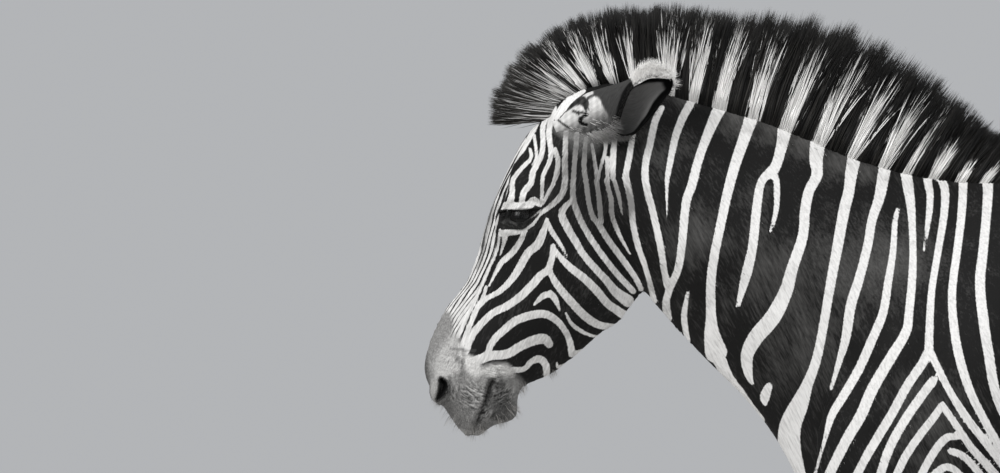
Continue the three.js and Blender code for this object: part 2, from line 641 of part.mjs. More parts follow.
// The tuft's core, half as long as the tuft, with locks hanging from all round it.
function makeTuft() {
  const random = randomFrom(5);
  const axis = (TUFT[0].a[0] + TUFT[0].b[0]) / 2;
  const [top, tip] = [TUFT[0].a[1], TUFT.at(-1).a[1]];
  const halves = TUFT.map(({ a, b }) => (b[0] - a[0]) / 2);
  const core = TUFT.slice(0, TUFT_CORE_ROWS).map(({ a, b, w }, i) => {
    const slim = i ? TUFT_CORE : 1;
    const slimmed = ([x, z]) => [axis + (x - axis) * slim, z];
    return { a: slimmed(a), b: slimmed(b), w: [w[0] * slim] };
  });
  const locks = Array.from({ length: TAIL_LOCKS }, (_, i) => {
    const turn = i * TAIL_LOCK.turn;
    const out = new THREE.Vector3(Math.cos(turn), Math.sin(turn), 0);
    const start = top - TAIL_LOCK.start - TAIL_LOCK_DROP * (i / TAIL_LOCKS);
    const end = tip + TAIL_LOCK_SHORT * (1 - i / TAIL_LOCKS) * (1 + random() * TAIL_LOCK.ragged);
    const path = TAIL_LOCK_PATH.map(([share, breadth]) => {
      const z = start + (end - start) * share;
      const far = Math.max(TAIL_LOCK_IN, spline(halves, (top - z) / (top - tip)) - TAIL_LOCK_IN);
      return new THREE.Vector3(axis, 0, z).addScaledVector(out, far * breadth);
    });
    return lock(path, new THREE.Vector3(-out.y, out.x, 0), TAIL_LOCK.halfWidth, TAIL_LOCK.halfThick);
  });
  return largest(unite([loft(core, { sides: 10 }), ...locks]));
}

// ---- The part ----

const zebra = new THREE.Group();
zebra.name = "zebra";
const body = new THREE.Group();
zebra.add(body);

function place(name, form, material) {
  const mesh = new THREE.Mesh(geometryOf(form), material);
  mesh.name = name;
  body.add(mesh);
}

place("head", pieceNear(headPoint(240, 0, 20).toArray()), COAT_WHITE);
place("muzzle", pieceNear(headPoint(595, 0, -25).toArray()), MUZZLE_SKIN);
place("lower_jaw", pieceNear(headPoint(330, 0, 160).toArray()), COAT_WHITE);
place("chin", pieceNear(headPoint(590, 0, 75).toArray()), MUZZLE_SKIN);
place("neck", pieceNear([-480, 0, 1400]), COAT_WHITE);
place("chest", pieceNear([-80, 0, 1130]), COAT_WHITE);
place("barrel", pieceNear([475, 0, 1100]), COAT_WHITE);
place("rump", pieceNear([925, 0, 1150]), COAT_WHITE);
place("tail_dock", pieceNear([1180, 0, 1110]), COAT_WHITE);
place("tail_tuft", makeTuft(), MANE_HAIR);

LEGS.forEach((leg) => {
  const levels = [...leg.cuts.map(([front, back]) => (front[1] + back[1]) / 2), leg.table.at(-1).a[1]];
  ["upper", "cannon", "pastern"].forEach((part, i) => {
    const height = (levels[i] + levels[i + 1]) / 2;
    const off = (section) => Math.abs(section.a[1] - height);
    const near = leg.table.reduce((best, section) => (off(section) < off(best) ? section : best));
    const middle = [(near.a[0] + near.b[0]) / 2, leg.side * near.y, height];
    place(`${leg.name}_${part}`, pieceNear(middle), COAT_WHITE);
  });
  place(`${leg.name}_hoof`, makeHoof(leg), HOOF_HORN);
});

bothSides((side) => {
  const hand = side < 0 ? "left" : "right";
  place(`eye_${hand}`, eyeball(side, EYE.radius), EYE_GLASS);
  place(`ear_${hand}`, makeEar(side), COAT_WHITE);
});

["forelock", "mane_front", "mane_middle", "mane_rear"].forEach((name, i) => {
  place(name, maneNodes[i], MANE_HAIR);
});

const box = new THREE.Box3().setFromObject(zebra);
const middle = box.getCenter(new THREE.Vector3());
body.position.set(-middle.x, -middle.y, -box.min.z);

export default zebra;
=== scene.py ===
"""Skin, markings, mane, ears, eyes, hooves and tail for a standing Grevy's zebra at life size.

Shapes are drawn in millimetres in the animal's own frame: X = 0 lies under the withers and grows
towards the tail, Y is sideways with the left side negative, and Z is up from the floor.
"""

import math

import bmesh
import bpy
import numpy as np
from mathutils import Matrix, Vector


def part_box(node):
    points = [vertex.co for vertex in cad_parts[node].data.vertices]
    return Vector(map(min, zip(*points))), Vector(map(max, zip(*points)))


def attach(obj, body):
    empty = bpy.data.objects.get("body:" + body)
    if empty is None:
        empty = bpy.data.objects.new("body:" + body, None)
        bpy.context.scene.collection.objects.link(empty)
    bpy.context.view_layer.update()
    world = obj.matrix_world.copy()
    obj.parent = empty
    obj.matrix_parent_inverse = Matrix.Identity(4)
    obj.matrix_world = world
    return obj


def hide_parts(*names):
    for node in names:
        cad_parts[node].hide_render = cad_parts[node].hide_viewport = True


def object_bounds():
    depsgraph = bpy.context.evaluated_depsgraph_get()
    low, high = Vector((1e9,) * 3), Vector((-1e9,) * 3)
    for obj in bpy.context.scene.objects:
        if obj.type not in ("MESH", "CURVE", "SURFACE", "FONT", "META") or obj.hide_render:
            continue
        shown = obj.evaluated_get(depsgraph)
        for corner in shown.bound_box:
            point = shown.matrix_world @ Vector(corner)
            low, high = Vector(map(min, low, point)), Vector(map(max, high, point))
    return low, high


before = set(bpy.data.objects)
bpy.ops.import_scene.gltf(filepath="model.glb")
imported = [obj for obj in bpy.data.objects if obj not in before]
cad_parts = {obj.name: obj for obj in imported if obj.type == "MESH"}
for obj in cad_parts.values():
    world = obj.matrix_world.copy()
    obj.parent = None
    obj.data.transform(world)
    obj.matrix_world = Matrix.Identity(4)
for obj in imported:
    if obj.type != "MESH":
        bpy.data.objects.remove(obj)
CAD_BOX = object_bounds()

bl_info = {
    "name": "Grevy's Zebra",
    "version": (1, 0, 0),
    "blender": (4, 5, 0),
    "location": "View3D > Sidebar > Zebra",
    "description": "Builds the skin, markings, mane, ears, eyes, hooves and tail of a standing zebra",
    "category": "Object",
}

# ---- Driving sizes, in millimetres unless a line says otherwise ----

RAD = math.pi / 180
HEAD_ORIGIN = (-756, 1660)  # poll: X and Z
HEAD_TILT = 69.3 * RAD  # how far the nose points below the horizontal
EYE = {"s": 262, "q": -13, "y": 60, "radius": 27}  # s runs down the head, q from face to jaw
STEP = {"fore_left": 0, "fore_right": 46, "hind_left": 40, "hind_right": -52}
STEP_FROM = 900  # height above which a step leaves a leg where it is
CORONET = 4  # how far a hoof's top stands out round the pastern
CORONET_GAP = 0.35  # how far below the pastern's end it begins
TUFT_FROM = 920

# The side view's grid: its unit, and where its column 1000 and row 0 lie on the animal.
GRID = 1.8
GRID_X = 1000
GRID_Z = 1811.2
VIEW_CENTRE = (500, 236.5)
VIEW_WIDTH = 1000
VIEW_PLANE = -60  # Y of the plane where one unit of the grid measures GRID
SENSOR = 36

FAR_OUT = 9.0  # the depth, in grid units, of what lies far outside or inside the white
HEAD_FROM = -690  # X in front of which the coat is the head's

# ---- Tables of sections ----

# A point, the point opposite, the half widths between them and, on legs, the distance from the middle.

TRUNK = [
    ((-790, 1630), (-742, 1420), (16, 40, 52, 52, 34)),
    ((-752, 1662), (-690, 1352), (26, 58, 72, 72, 46)),
    ((-684, 1668), (-652, 1302), (30, 66, 84, 82, 52)),
    ((-600, 1646), (-622, 1264), (30, 66, 88, 84, 54)),
    ((-500, 1609), (-577, 1212), (30, 68, 92, 88, 56)),
    ((-400, 1572), (-522, 1155), (32, 76, 98, 94, 60)),
    ((-290, 1533), (-460, 1093), (34, 86, 110, 104, 68)),
    ((-175, 1497), (-405, 1022), (36, 100, 128, 122, 82)),
    ((-70, 1482), (-362, 940), (42, 122, 154, 150, 108)),
    ((30, 1484), (-338, 860), (52, 152, 186, 178, 128)),
    ((120, 1478), (-262, 796), (76, 190, 220, 196, 130)),
    ((210, 1462), (-110, 776), (104, 222, 248, 214, 136)),
    ((310, 1448), (70, 760), (138, 250, 272, 242, 150)),
    ((430, 1440), (270, 748), (160, 264, 286, 262, 160)),
    ((560, 1444), (470, 752), (172, 262, 282, 258, 152)),
    ((690, 1458), (640, 778), (178, 258, 266, 232, 136)),
    ((810, 1468), (780, 828), (182, 258, 256, 214, 120)),
    ((920, 1458), (890, 900), (176, 250, 248, 206, 110)),
    ((1020, 1424), (990, 990), (150, 226, 234, 192, 100)),
    ((1092, 1372), (1075, 1070), (112, 178, 198, 168, 84)),
    ((1132, 1300), (1122, 1140), (60, 100, 120, 100, 50)),
]

HEAD = [  # in the head's own frame
    ((-22, 40), (20, 108), (30, 52, 60, 52, 34)),
    ((40, -6), (52, 122), (44, 72, 78, 68, 42)),
    ((88, -45), (96, 140), (52, 86, 88, 80, 48)),
    ((130, -62), (134, 154), (56, 94, 94, 86, 50)),
    ((190, -69), (186, 178), (66, 102, 96, 90, 50)),
    ((250, -73), (246, 206), (72, 103, 97, 90, 48)),
    ((306, -71), (304, 236), (56, 94, 92, 84, 44)),
    ((357, -67), (357, 224), (40, 76, 86, 74, 38)),
    ((410, -69), (410, 193), (35, 64, 75, 63, 34)),
    ((460, -85), (460, 168), (32, 56, 64, 54, 31)),
    ((510, -91), (510, 136), (33, 53, 58, 50, 30)),
    ((548, -90), (545, 101), (38, 58, 58, 50, 32)),
    ((580, -83), (572, 99), (50, 66, 60, 54, 36)),
    ((604, -65), (596, 107), (52, 66, 60, 56, 36)),
    ((625, -36), (613, 99), (46, 60, 57, 53, 34)),
    ((643, -10), (629, 76), (36, 52, 52, 46, 30)),
    ((657, 10), (645, 64), (28, 42, 42, 36, 24)),
    ((665, 28), (656, 56), (14, 22, 22, 18, 12)),
]

FORELEG = [
    ((-66, 1420), (70, 1412), (14, 22, 14), 34),
    ((-180, 1290), (96, 1300), (34, 58, 38), 92),
    ((-276, 1150), (84, 1176), (50, 74, 50), 122),
    ((-334, 1026), (56, 1064), (56, 78, 52), 134),
    ((-304, 914), (26, 954), (56, 76, 52), 136),
    ((-228, 836), (4, 868), (52, 68, 44), 133),
    ((-188, 766), (-40, 780), (44, 58, 38), 128),
    ((-172, 690), (-58, 694), (36, 49, 33), 121),
    ((-163, 610), (-70, 612), (30, 41, 28), 116),
    ((-160, 545), (-73, 545), (30, 39, 28), 113),
    ((-162, 495), (-70, 492), (34, 42, 30), 111),
    ((-154, 445), (-80, 445), (30, 36, 26), 110),
    ((-144, 395), (-85, 395), (22, 27, 20), 109),
    ((-140, 320), (-85, 320), (20, 25, 20), 108),
    ((-143, 268), (-80, 268), (24, 29, 23), 107),
    ((-150, 232), (-74, 220), (28, 34, 26), 106),
    ((-160, 196), (-90, 178), (25, 31, 24), 106),
    ((-176, 156), (-114, 128), (24, 30, 24), 106),
    ((-204, 92), (-122, 60), (32, 40, 32), 106),
]

HINDLEG = [
    ((812, 1380), (1030, 1376), (24, 50, 26), 84),
    ((790, 1250), (1112, 1262), (50, 88, 50), 126),
    ((760, 1110), (1144, 1150), (62, 100, 62), 140),
    ((742, 980), (1134, 1020), (64, 94, 58), 148),
    ((752, 880), (1098, 914), (56, 80, 48), 152),
    ((800, 800), (1068, 828), (46, 68, 38), 150),
    ((876, 728), (1070, 760), (38, 56, 30), 142),
    ((948, 664), (1090, 700), (32, 45, 22), 134),
    ((998, 606), (1120, 648), (34, 42, 20), 128),
    ((1018, 560), (1136, 606), (37, 45, 24), 125),
    ((1030, 516), (1128, 545), (34, 42, 26), 123),
    ((1038, 465), (1112, 480), (27, 33, 24), 122),
    ((1044, 380), (1104, 384), (22, 27, 21), 121),
    ((1044, 300), (1104, 302), (22, 27, 21), 121),
    ((1038, 250), (1110, 250), (27, 32, 25), 121),
    ((1030, 224), (1112, 214), (28, 34, 27), 121),
    ((1020, 190), (1094, 172), (25, 31, 25), 121),
    ((1004, 152), (1070, 124), (24, 30, 24), 121),
    ((978, 92), (1058, 60), (31, 38, 31), 121),
]

FORE_HOOF = [((-223, 46), (-118, 28), (39, 48, 39), 106), ((-240, 0), (-110, 0), (42, 53, 44), 106)]
HIND_HOOF = [((960, 46), (1062, 28), (36, 45, 37), 121), ((943, 0), (1070, 0), (38, 48, 40), 121)]

DOCK = [
    ((1076, 1300), (1096, 1372), (34,)),
    ((1122, 1292), (1150, 1350), (32,)),
    ((1160, 1246), (1204, 1282), (28,)),
    ((1176, 1180), (1222, 1192), (25,)),
    ((1182, 1100), (1222, 1104), (22,)),
    ((1184, 1010), (1218, 1012), (19,)),
    ((1186, TUFT_FROM), (1214, TUFT_FROM), (16,)),
]

# The mane's roots along the crest, with the hair's direction (0 is towards the tail, 90 up) and length.
MANE = [
    ((-806, 1600), 180, 120),
    ((-792, 1626), 165, 126),
    ((-768, 1650), 143, 124),
    ((-732, 1664), 119, 126),
    ((-680, 1668), 103, 138),
    ((-622, 1656), 89, 154),
    ((-556, 1637), 78, 170),
    ((-488, 1618), 75, 180),
    ((-418, 1597), 71, 206),
    ((-346, 1568), 63, 222),
    ((-272, 1537), 60, 214),
    ((-200, 1514), 58, 192),
    ((-128, 1498), 55, 154),
    ((-56, 1490), 52, 114),
    ((16, 1489), 44, 72),
    ((84, 1484), 36, 50),
]
RIDGE = 19  # half width of the ridge under the mane

# An ear: distance along it, where its upper and its lower edge lie below its axis, half depth, and the
# angle of the near rim of the cup, from 0 at the lower edge over the near side to 180 at the upper edge.
EAR = [
    (-34, -2, 42, 26, 20),
    (-12, -6, 50, 30, 20),
    (12, -16, 58, 33, 20),
    (40, -21, 66, 36, 20),
    (56, -21, 70, 37, 28),
    (66, -20, 75, 38, 50),
    (76, -19, 79, 38, 66),
    (92, -17, 81, 38, 90),
    (108, -15, 77, 37, 110),
    (124, -15, 69, 36, 126),
    (140, -18, 61, 33, 123),
    (155, -20, 52, 30, 118),
    (168, -16, 44, 26, 112),
    (177, -11, 40, 21, 106),
    (185, -4, 34, 15, 100),
    (191, 4, 27, 8, 95),
    (194, 9, 21, 2, 90),
]
EAR_ROOT = np.array([-776.0, -52.0, 1606.0])
EAR_ALONG = np.array([0.918, -0.385, 0.395])
EAR_DOWN = np.array([0.395, 0, -0.918])
EAR_LOW_RIM = 20  # angle where the wall ends at the lower edge
EAR_WALL = 4.5
RIM_GREY = 0.04  # the black of the ear's rim
SIDES = (("left", -1), ("right", 1))

# Black marks on the white foot of the left ear: grid points and widths.
EAR_MARKS = {
    "blotch": (((566, 111), (572, 104), (579, 100), (585, 103), (586, 110)), (2, 7, 9, 8, 2)),
    "curl": (((588, 115), (583, 116.5), (580, 120.5), (583, 124), (589, 125)), (1.5, 3.5, 3.5, 2.5, 0.8)),
    "hook": (((594, 95), (588, 98), (586, 105), (589, 110)), (1.5, 2.5, 3, 1)),
    "dash": (((573, 111), (579, 113), (586, 113)), (2, 3, 2)),
    "line": (((557, 119), (563, 124), (571, 129)), (1.2, 1.6, 0.8)),
    "upper_line": (((558, 115), (565, 109), (573, 103)), (1.6, 1.6, 1.2)),
}

# ---- Markings: each white stroke is a list of grid points and its widths from end to end ----

NECK_STROKES = {
    "behind_the_ear": (((661, 108), (655, 122), (650, 144), (646, 161), (645, 176), (648, 194), (653, 212),
        (660, 244), (664, 269), (667, 286)), (7, 7, 7, 6)),
    "first": (((695, 84), (692, 100), (683, 117), (676, 135), (672, 153), (668, 174), (667, 188),
        (668, 222)), (9, 8, 7, 5, 2)),
    "second": (((721, 106), (713, 122), (704, 144), (697, 165), (692, 185), (686, 203), (682, 244),
        (678, 269), (670, 288), (666, 303), (668, 318)), (13, 9, 9, 8, 7, 8)),
    "short_throat": (((688, 292), (684, 317), (688, 342)), (3, 6, 5)),
    "third": (((758, 89), (752, 115), (744, 139), (735, 165), (727, 195), (721, 223), (715, 252),
        (711, 281), (711, 313), (712, 334), (716, 352)), (17, 12, 10, 9, 9, 11, 22)),
    "throat_edge": (((714, 346), (727, 376), (740, 391), (752, 406), (763, 420)), (14, 10, 5, 4)),
    "fourth": (((786, 120), (783, 140), (777, 163), (771, 173)), (17, 12, 10, 12)),
    "fourth_front": (((771, 171), (763, 179), (759, 191), (756, 215), (753, 244), (749, 264), (744, 283),
        (738, 306)), (8, 8, 9, 9, 10, 4)),
    "fourth_back": (((772, 171), (776, 179), (777, 191), (776, 211), (771, 231)), (8, 6, 6, 5, 3)),
    "fifth": (((819, 135), (816, 159), (817, 175), (809, 191), (805, 211), (804, 228), (801, 243),
        (792, 269), (786, 291), (773, 317), (756, 337), (747, 356), (749, 376), (753, 384)),
        (16, 11, 10, 10, 12, 16, 12, 3)),
    "throat_spot": (((769, 386), (765, 396), (765, 404)), (7, 10, 4)),
    "sixth": (((856, 148), (851, 175), (849, 191), (844, 211), (838, 244), (832, 276), (827, 305),
        (822, 334), (816, 361), (808, 383), (800, 403), (790, 427), (790, 451), (797, 473), (806, 500)),
        (14, 11, 11, 10, 9, 9, 11, 20, 22, 14)),
    "seventh": (((887, 156), (883, 179), (879, 199), (872, 220), (868, 244), (860, 276), (851, 305),
        (846, 337), (840, 359), (831, 389)), (13, 11, 9, 9, 10, 8, 3)),
    "seventh_spur": (((898, 209), (895, 222), (893, 252), (888, 283), (883, 313), (871, 342), (859, 369),
        (844, 395), (832, 415), (825, 439), (817, 467)), (4, 6, 8, 9, 9, 8, 3)),
    "eighth": (((906, 170), (907, 179), (910, 199), (912, 220), (913, 252), (912, 281), (909, 313),
        (906, 332), (890, 359), (873, 388), (861, 415), (847, 439), (830, 473), (818, 502), (812, 530)),
        (12, 10, 7, 8, 9, 11, 11, 10, 9)),
    "ninth_front": (((927, 172), (928, 183), (930, 195), (929, 215), (924, 251)), (9, 8, 7, 6, 2)),
    "ninth_arch": (((927, 180), (934, 174), (941, 180)), (7, 6, 7)),
    "ninth": (((941, 179), (945, 191), (944, 215), (938, 252), (932, 288), (930, 317), (929, 342),
        (929, 351)), (8, 8, 7, 7, 8, 9)),
    "shoulder_front": (((929, 350), (922, 364), (907, 386), (893, 412), (878, 437), (864, 461), (850, 490),
        (842, 515)), (9, 9, 9, 8)),
    "shoulder_back": (((929, 350), (937, 366), (949, 390), (966, 417), (983, 439), (1000, 461), (1022, 490),
        (1046, 520)), (8, 7, 8, 8, 8)),
    "tenth": (((963, 172), (963, 191), (961, 220), (957, 252), (952, 293), (954, 327), (959, 356),
        (968, 386), (980, 412), (1000, 447), (1024, 480), (1048, 508)), (9, 8, 8, 9, 8, 8)),
    "eleventh": (((987, 176), (988, 191), (986, 220), (983, 252), (980, 283), (983, 317), (989, 356),
        (995, 390), (1006, 418), (1028, 452), (1050, 480), (1072, 506)), (11, 9, 10, 10, 9, 8)),
    "chevron_1": (((933, 381), (920, 398), (905, 420), (890, 447), (880, 475), (870, 505)), (9, 9, 9, 8)),
    "chevron_2_front": (((942, 405), (934, 417), (917, 439), (903, 461), (893, 485), (886, 512)),
        (7, 8, 8, 8)),
    "chevron_2_back": (((942, 405), (954, 422), (971, 447), (988, 466), (1006, 490), (1022, 516)),
        (7, 7, 8, 8)),
    "chevron_3": (((956, 437), (948, 437), (939, 445), (927, 464), (917, 485), (910, 508)), (6, 8, 8, 8)),
    "chevron_4": (((951, 451), (963, 456), (975, 468), (990, 488), (1002, 512)), (7, 7, 7, 7)),
    "chevron_5": (((926, 497), (932, 478), (946, 467), (959, 474), (972, 495)), (7, 8, 7, 7)),
}

RUN_ON_FROM = 460  # a stroke that ends below this row runs on by RUN_ON
RUN_ON = 85

CHEEK_STROKES = {
    "cheek_apex_front": (((547, 219), (544, 230), (538, 244), (528, 253), (521, 265), (512, 279),
        (500, 291), (486, 299), (479, 306)), (3, 8, 8, 7, 5, 5)),
    "cheek_apex_back": (((547, 221), (552, 232), (559, 242), (567, 256)), (4, 5, 4, 1.5)),
    "fork_back": (((553, 246), (561, 258), (571, 268), (585, 279), (597, 291), (607, 303), (618, 311),
        (624, 315)), (3, 7, 8, 8, 9)),
    "fork_stem": (((553, 246), (552, 258), (548, 271)), (5, 6, 7)),
    "fork_front": (((549, 270), (541, 275), (531, 286), (521, 296), (507, 306), (493, 313), (481, 324),
        (472, 336), (466, 352)), (7, 8, 8, 7, 7, 6)),
    "fork_middle": (((549, 270), (554, 280), (562, 291), (574, 305), (586, 317), (599, 325), (614, 327)),
        (5, 7, 8, 8, 6)),
    "little_arch_front": (((550, 294), (543, 296), (534, 305)), (6, 6, 2)),
    "little_arch_back": (((550, 293), (555, 299), (560, 311)), (6, 6, 1.5)),
    "big_arch": (((488, 352), (493, 341), (503, 331), (517, 320), (538, 314), (550, 316), (561, 325),
        (569, 339), (572, 354)), (6, 7, 8, 8, 7, 6, 7)),
    "big_arch_foot": (((572, 354), (579, 352), (588, 348)), (6, 4, 2)),
    "jaw_sliver": (((566, 313), (571, 323), (581, 331), (593, 336), (602, 336)), (2, 4, 3, 1.5)),
    "lower_arch": (((472, 363), (489, 356), (507, 354), (521, 346), (535, 340), (545, 339), (549, 344)),
        (10, 9, 9, 10, 8)),
    "chin_arch": (((512, 370), (524, 369), (531, 362), (540, 359), (546, 366), (547, 376), (552, 379),
        (559, 379)), (6, 5, 7, 7, 5, 3)),
    "chin_spot": (((557, 363), (558, 367), (566, 364)), (2, 3, 2)),
    "rear_1": (((573, 199), (562, 212), (567, 227), (576, 242), (583, 254), (593, 266), (606, 280),
        (616, 292), (628, 301)), (4, 8, 7, 7, 8, 12)),
    "rear_2": (((573, 180), (573, 196), (576, 209), (583, 225), (593, 242), (606, 260), (618, 275),
        (633, 291)), (5, 6, 6, 6, 6)),
    "rear_3": (((586, 180), (588, 197), (592, 215), (599, 225), (609, 241), (623, 260), (635, 277),
        (641, 289)), (5, 5, 6, 6, 5)),
    "rear_4": (((596, 180), (599, 197), (601, 222)), (4, 5, 5)),
    "rear_5": (((606, 180), (611, 199), (612, 215), (619, 234), (630, 254)), (4, 5, 5, 4, 1.5)),
    "rear_6": (((614, 180), (619, 197), (622, 215)), (4, 4, 1.5)),
    "rear_7": (((626, 178), (631, 202), (633, 223), (638, 246), (645, 266), (650, 284), (654, 301)),
        (7, 6, 6, 5, 6)),
}

BROW_STROKES = {
    "poll": (((556, 118), (563, 108), (572, 98), (584, 91)), (5, 8, 7, 4)),
    "brow_0": (((508, 184), (505, 192), (501, 203)), (1.5, 3.5, 1.5)),
    "brow_1": (((548, 109), (539, 120), (532, 133), (523, 149), (512, 163), (507, 172)), (4, 5, 4)),
    "brow_2": (((534, 135), (536, 149), (536, 158), (532, 165)), (3, 3, 1)),
    "brow_3": (((530, 149), (531, 158), (521, 169), (513, 180), (512, 194), (509, 206)), (3, 4, 5, 7)),
    "brow_4": (((551, 108), (543, 126), (543, 142), (541, 156), (533, 172), (531, 183), (524, 192),
        (521, 206)), (5, 5, 6, 6)),
    "brow_5": (((554, 108), (549, 131), (551, 151), (549, 163), (543, 176), (542, 194), (542, 204)),
        (6, 5, 4, 3)),
    "brow_6": (((555, 149), (558, 161), (556, 176), (550, 190), (543, 203)), (4, 5, 4, 3)),
    "brow_7": (((566, 130), (565, 161), (565, 180), (562, 194), (552, 205), (541, 213)), (5, 6, 6, 4)),
    "brow_8": (((577, 134), (574, 170), (573, 194)), (5, 5, 5)),
    "brow_9": (((586, 138), (584, 165), (586, 182)), (4, 5, 5)),
    "brow_10": (((592, 144), (597, 178), (598, 196)), (3, 4, 4)),
    "brow_10_branch": (((606, 148), (600, 170), (598, 180)), (3, 3, 3)),
    "brow_11": (((607, 158), (608, 190)), (4, 4)),
    "brow_12": (((615, 132), (613, 160), (613, 178)), (5, 6, 5)),
    "brow_13": (((635, 122), (629, 158), (625, 178)), (5, 6, 6)),
    "brow_14": (((606, 138), (605, 158)), (5, 2)),
    "upper_lid": (((500, 209), (508, 205), (519, 206.5), (529, 205), (534, 201), (540, 205)),
        (2, 8, 7, 8, 8, 4)),
    "lower_lid_edge": (((541, 210), (534, 215), (527, 220)), (1.5, 2.5, 1)),
    "lid_fold": (((552, 205), (541, 214), (533, 224), (523, 231)), (4, 2, 3, 3)),
    "under_the_eye": (((502, 233), (512, 232.5), (526, 231)), (6, 6, 3)),
    "under_the_eye_front": (((505.5, 233), (504, 242), (500, 256)), (7, 4, 1)),
    "under_the_eye_back": (((524, 232), (520, 242), (511, 254), (502, 262), (496, 272), (489, 286)),
        (5, 6, 5, 1.5)),
    "nose_rear": (((500, 230), (497, 250), (490, 266), (483, 282), (475, 300), (466, 318), (458, 336)),
        (2.6, 3, 4, 5)),
    "nose_join": (((486, 287), (483, 298), (478, 306), (470, 325), (462, 346)), (3, 4, 5, 5)),
}

# The fine lines down the nose: where they end towards the cheek, their spacing and the white share.
NOSE_REAR = ((524, 140), (516, 155), (510, 168), (507, 180), (505.5, 192), (501, 204), (497, 215),
    (495, 232), (493, 250), (486, 266), (479, 282), (471, 300), (462, 318), (454, 336), (450, 350))
NOSE_FRONT = ((524, 140), (514, 155), (505, 170), (495, 190), (486, 215), (481, 232), (477, 250),
    (471, 266), (464, 282), (451, 300), (439, 318), (431, 336), (427, 350))
NOSE_SPACING = 5.4
NOSE_WHITE = (0.5, 0.66)  # by the eye and above the nostril
NOSE_FLAT = 24  # half width of the flat top of the nose, in millimetres

# Plain tones laid over the stripes of the muzzle and lids, with painted shade and painted highlights among
# them:
# grid points, widths, grey from 0 to 1, softness, weight.
TONES = {
    "muzzle": (((424, 352), (446, 376), (470, 392), (492, 396), (505, 400)), (4, 40, 52, 60, 50), 0.49, 4,
        1),
    "lips": (((445, 398), (462, 412), (476, 424), (500, 414)), (22, 40, 34, 34), 0.42, 5, 1),
    "nose_patch": (((447, 315), (443, 328), (436, 345), (430, 362), (428, 376)), (7, 20, 21, 15, 10), 0.49,
        1.2, 1),
    "nose_grey": (((499, 186), (493, 200), (490, 215), (485, 235), (482.5, 252), (477, 268)),
        (1.5, 2.5, 4, 3, 2.5, 1), 0.33, 1, 0.85),
    "ear_shade": (((572, 146), (584, 150), (597, 148)), (8, 10, 6), 0.3, 4, 0.75),
    "dapple": (((454, 340), (447, 356), (442, 369), (454, 366)), (12, 20, 18, 14), 0.64, 3, 0.9),
    "front_edge": (((426, 352), (425, 366), (427, 380)), (2, 5, 4), 0.3, 1.6, 0.8),
    "white_cheek": (((466, 358), (473, 366), (476, 374)), (7, 16, 8), 0.76, 2, 1),
    "white_lip": (((480, 373), (492, 370), (505, 370), (512, 374)), (5, 12, 12, 5), 0.72, 2.4, 1),
    "cheek_join": (((459, 345), (461, 351), (462, 358)), (5, 7, 5), 0.68, 1.5, 1),
    # Painted highlight on the raised wing of the nostril.
    "nostril_wing": (((434, 382), (433, 390), (433, 397), (436, 403)), (4, 7, 5, 2), 0.62, 1.2, 1),
    "nostril_arch": (((433, 380), (438, 375.5), (444, 376), (448, 382), (447, 390)), (2, 3, 3.5, 3, 2), 0.6,
        1, 0.9),
    # Dark inside of the nostril, with painted shade in its depth.
    "nostril_deep": (((437, 400), (443, 393), (445.5, 385), (441, 379)), (3, 6, 7, 4), 0.02, 1.2, 1),
    "nostril_inner": (((438, 398), (440, 390), (441, 383)), (1.5, 2.5, 2), 0.1, 1.2, 0.9),
    "nostril_fold": (((449, 378), (450, 390), (446, 400), (440, 407)), (2, 3, 3, 1.5), 0.3, 1.6, 0.8),
    "crease": (((464, 350), (463, 361), (462, 372), (460, 382)), (1, 2, 3, 2), 0.36, 1.6, 0.8),
    "nose_crease": (((450, 348.5), (460, 349.5), (474, 350.5)), (0.5, 1.2, 0.5), 0.26, 0.8, 0.8),
    "mouth_shade": (((491, 383), (489, 395), (485, 407), (479, 422)), (6, 9, 5, 1.5), 0.14, 3.4, 0.85),
    "mouth_corner": (((492, 381), (497, 384), (505, 384)), (5, 6, 2), 0.2, 3, 0.8),
    # Dark hair of the chin, with painted shade over it.
    "chin": (((502, 396), (503, 408), (498, 418)), (18, 22, 14), 0.28, 5, 0.8),
    "lip_tips": (((460, 430), (470, 432.5), (484, 433)), (1.5, 2, 3), 0.7, 2, 0.8),
    "chin_tips": (((495, 423), (503, 423.5)), (2, 2), 0.6, 2, 0.7),
    "mouth_line": (((474, 432), (477, 423), (482, 411), (487, 399), (490, 387)), (0.2, 0.4, 0.8, 1.8, 2.4),
        0.1, 0.9, 0.7),
    # Painted shadow of the ear on the skin below it.
    "painted_ear_shadow": (((556, 130), (572, 136), (590, 139), (606, 139)), (4, 12, 13, 9), 0.42, 3, 0.85),
    # Dark skin at the lids' edges, with the painted shadow of the upper lid and its lashes over it.
    "eye_surround": (((500, 212.5), (508, 215), (520, 217), (532, 213.5), (540, 209.5)), (3, 9, 15, 8, 2),
        0.07, 1.5, 1),
    "eye_below": (((501, 222), (510, 224.5), (521, 226.5), (528, 222)), (4, 7, 6, 2), 0.16, 1.5, 1),
    "lid_glint": (((503, 223), (507, 219.6), (512, 221.8), (516, 224.6)), (1, 1.4, 1.4, 1), 0.4, 0.9, 0.7),
    "tear_corner": (((499, 211), (502, 214), (501, 219)), (3, 4, 2), 0.08, 1.2, 1),
    "brow_crease": (((505, 209.5), (508, 205)), (1, 1), 0.25, 0.8, 0.8),
    "brow_crease_back": (((519, 209), (524, 204.5)), (1, 1), 0.25, 0.8, 0.8),
}

# Fine wrinkles: grid point and radius of the patch, the point that they curve round, their spacing and depth.
WRINKLES = (((472, 396), 15, (500, 340), 2.6, 0.9), ((503, 395), 12, (488, 371), 2.2, 0.7), ((496, 373), 11,
    (504, 300), 2.8, 0.8), ((455, 392), 9, (520, 372), 3.0, 0.6), ((486, 414), 9, (460, 385), 2.8, 0.7),
    ((455, 362), 10, (400, 340), 2.4, 0.6))
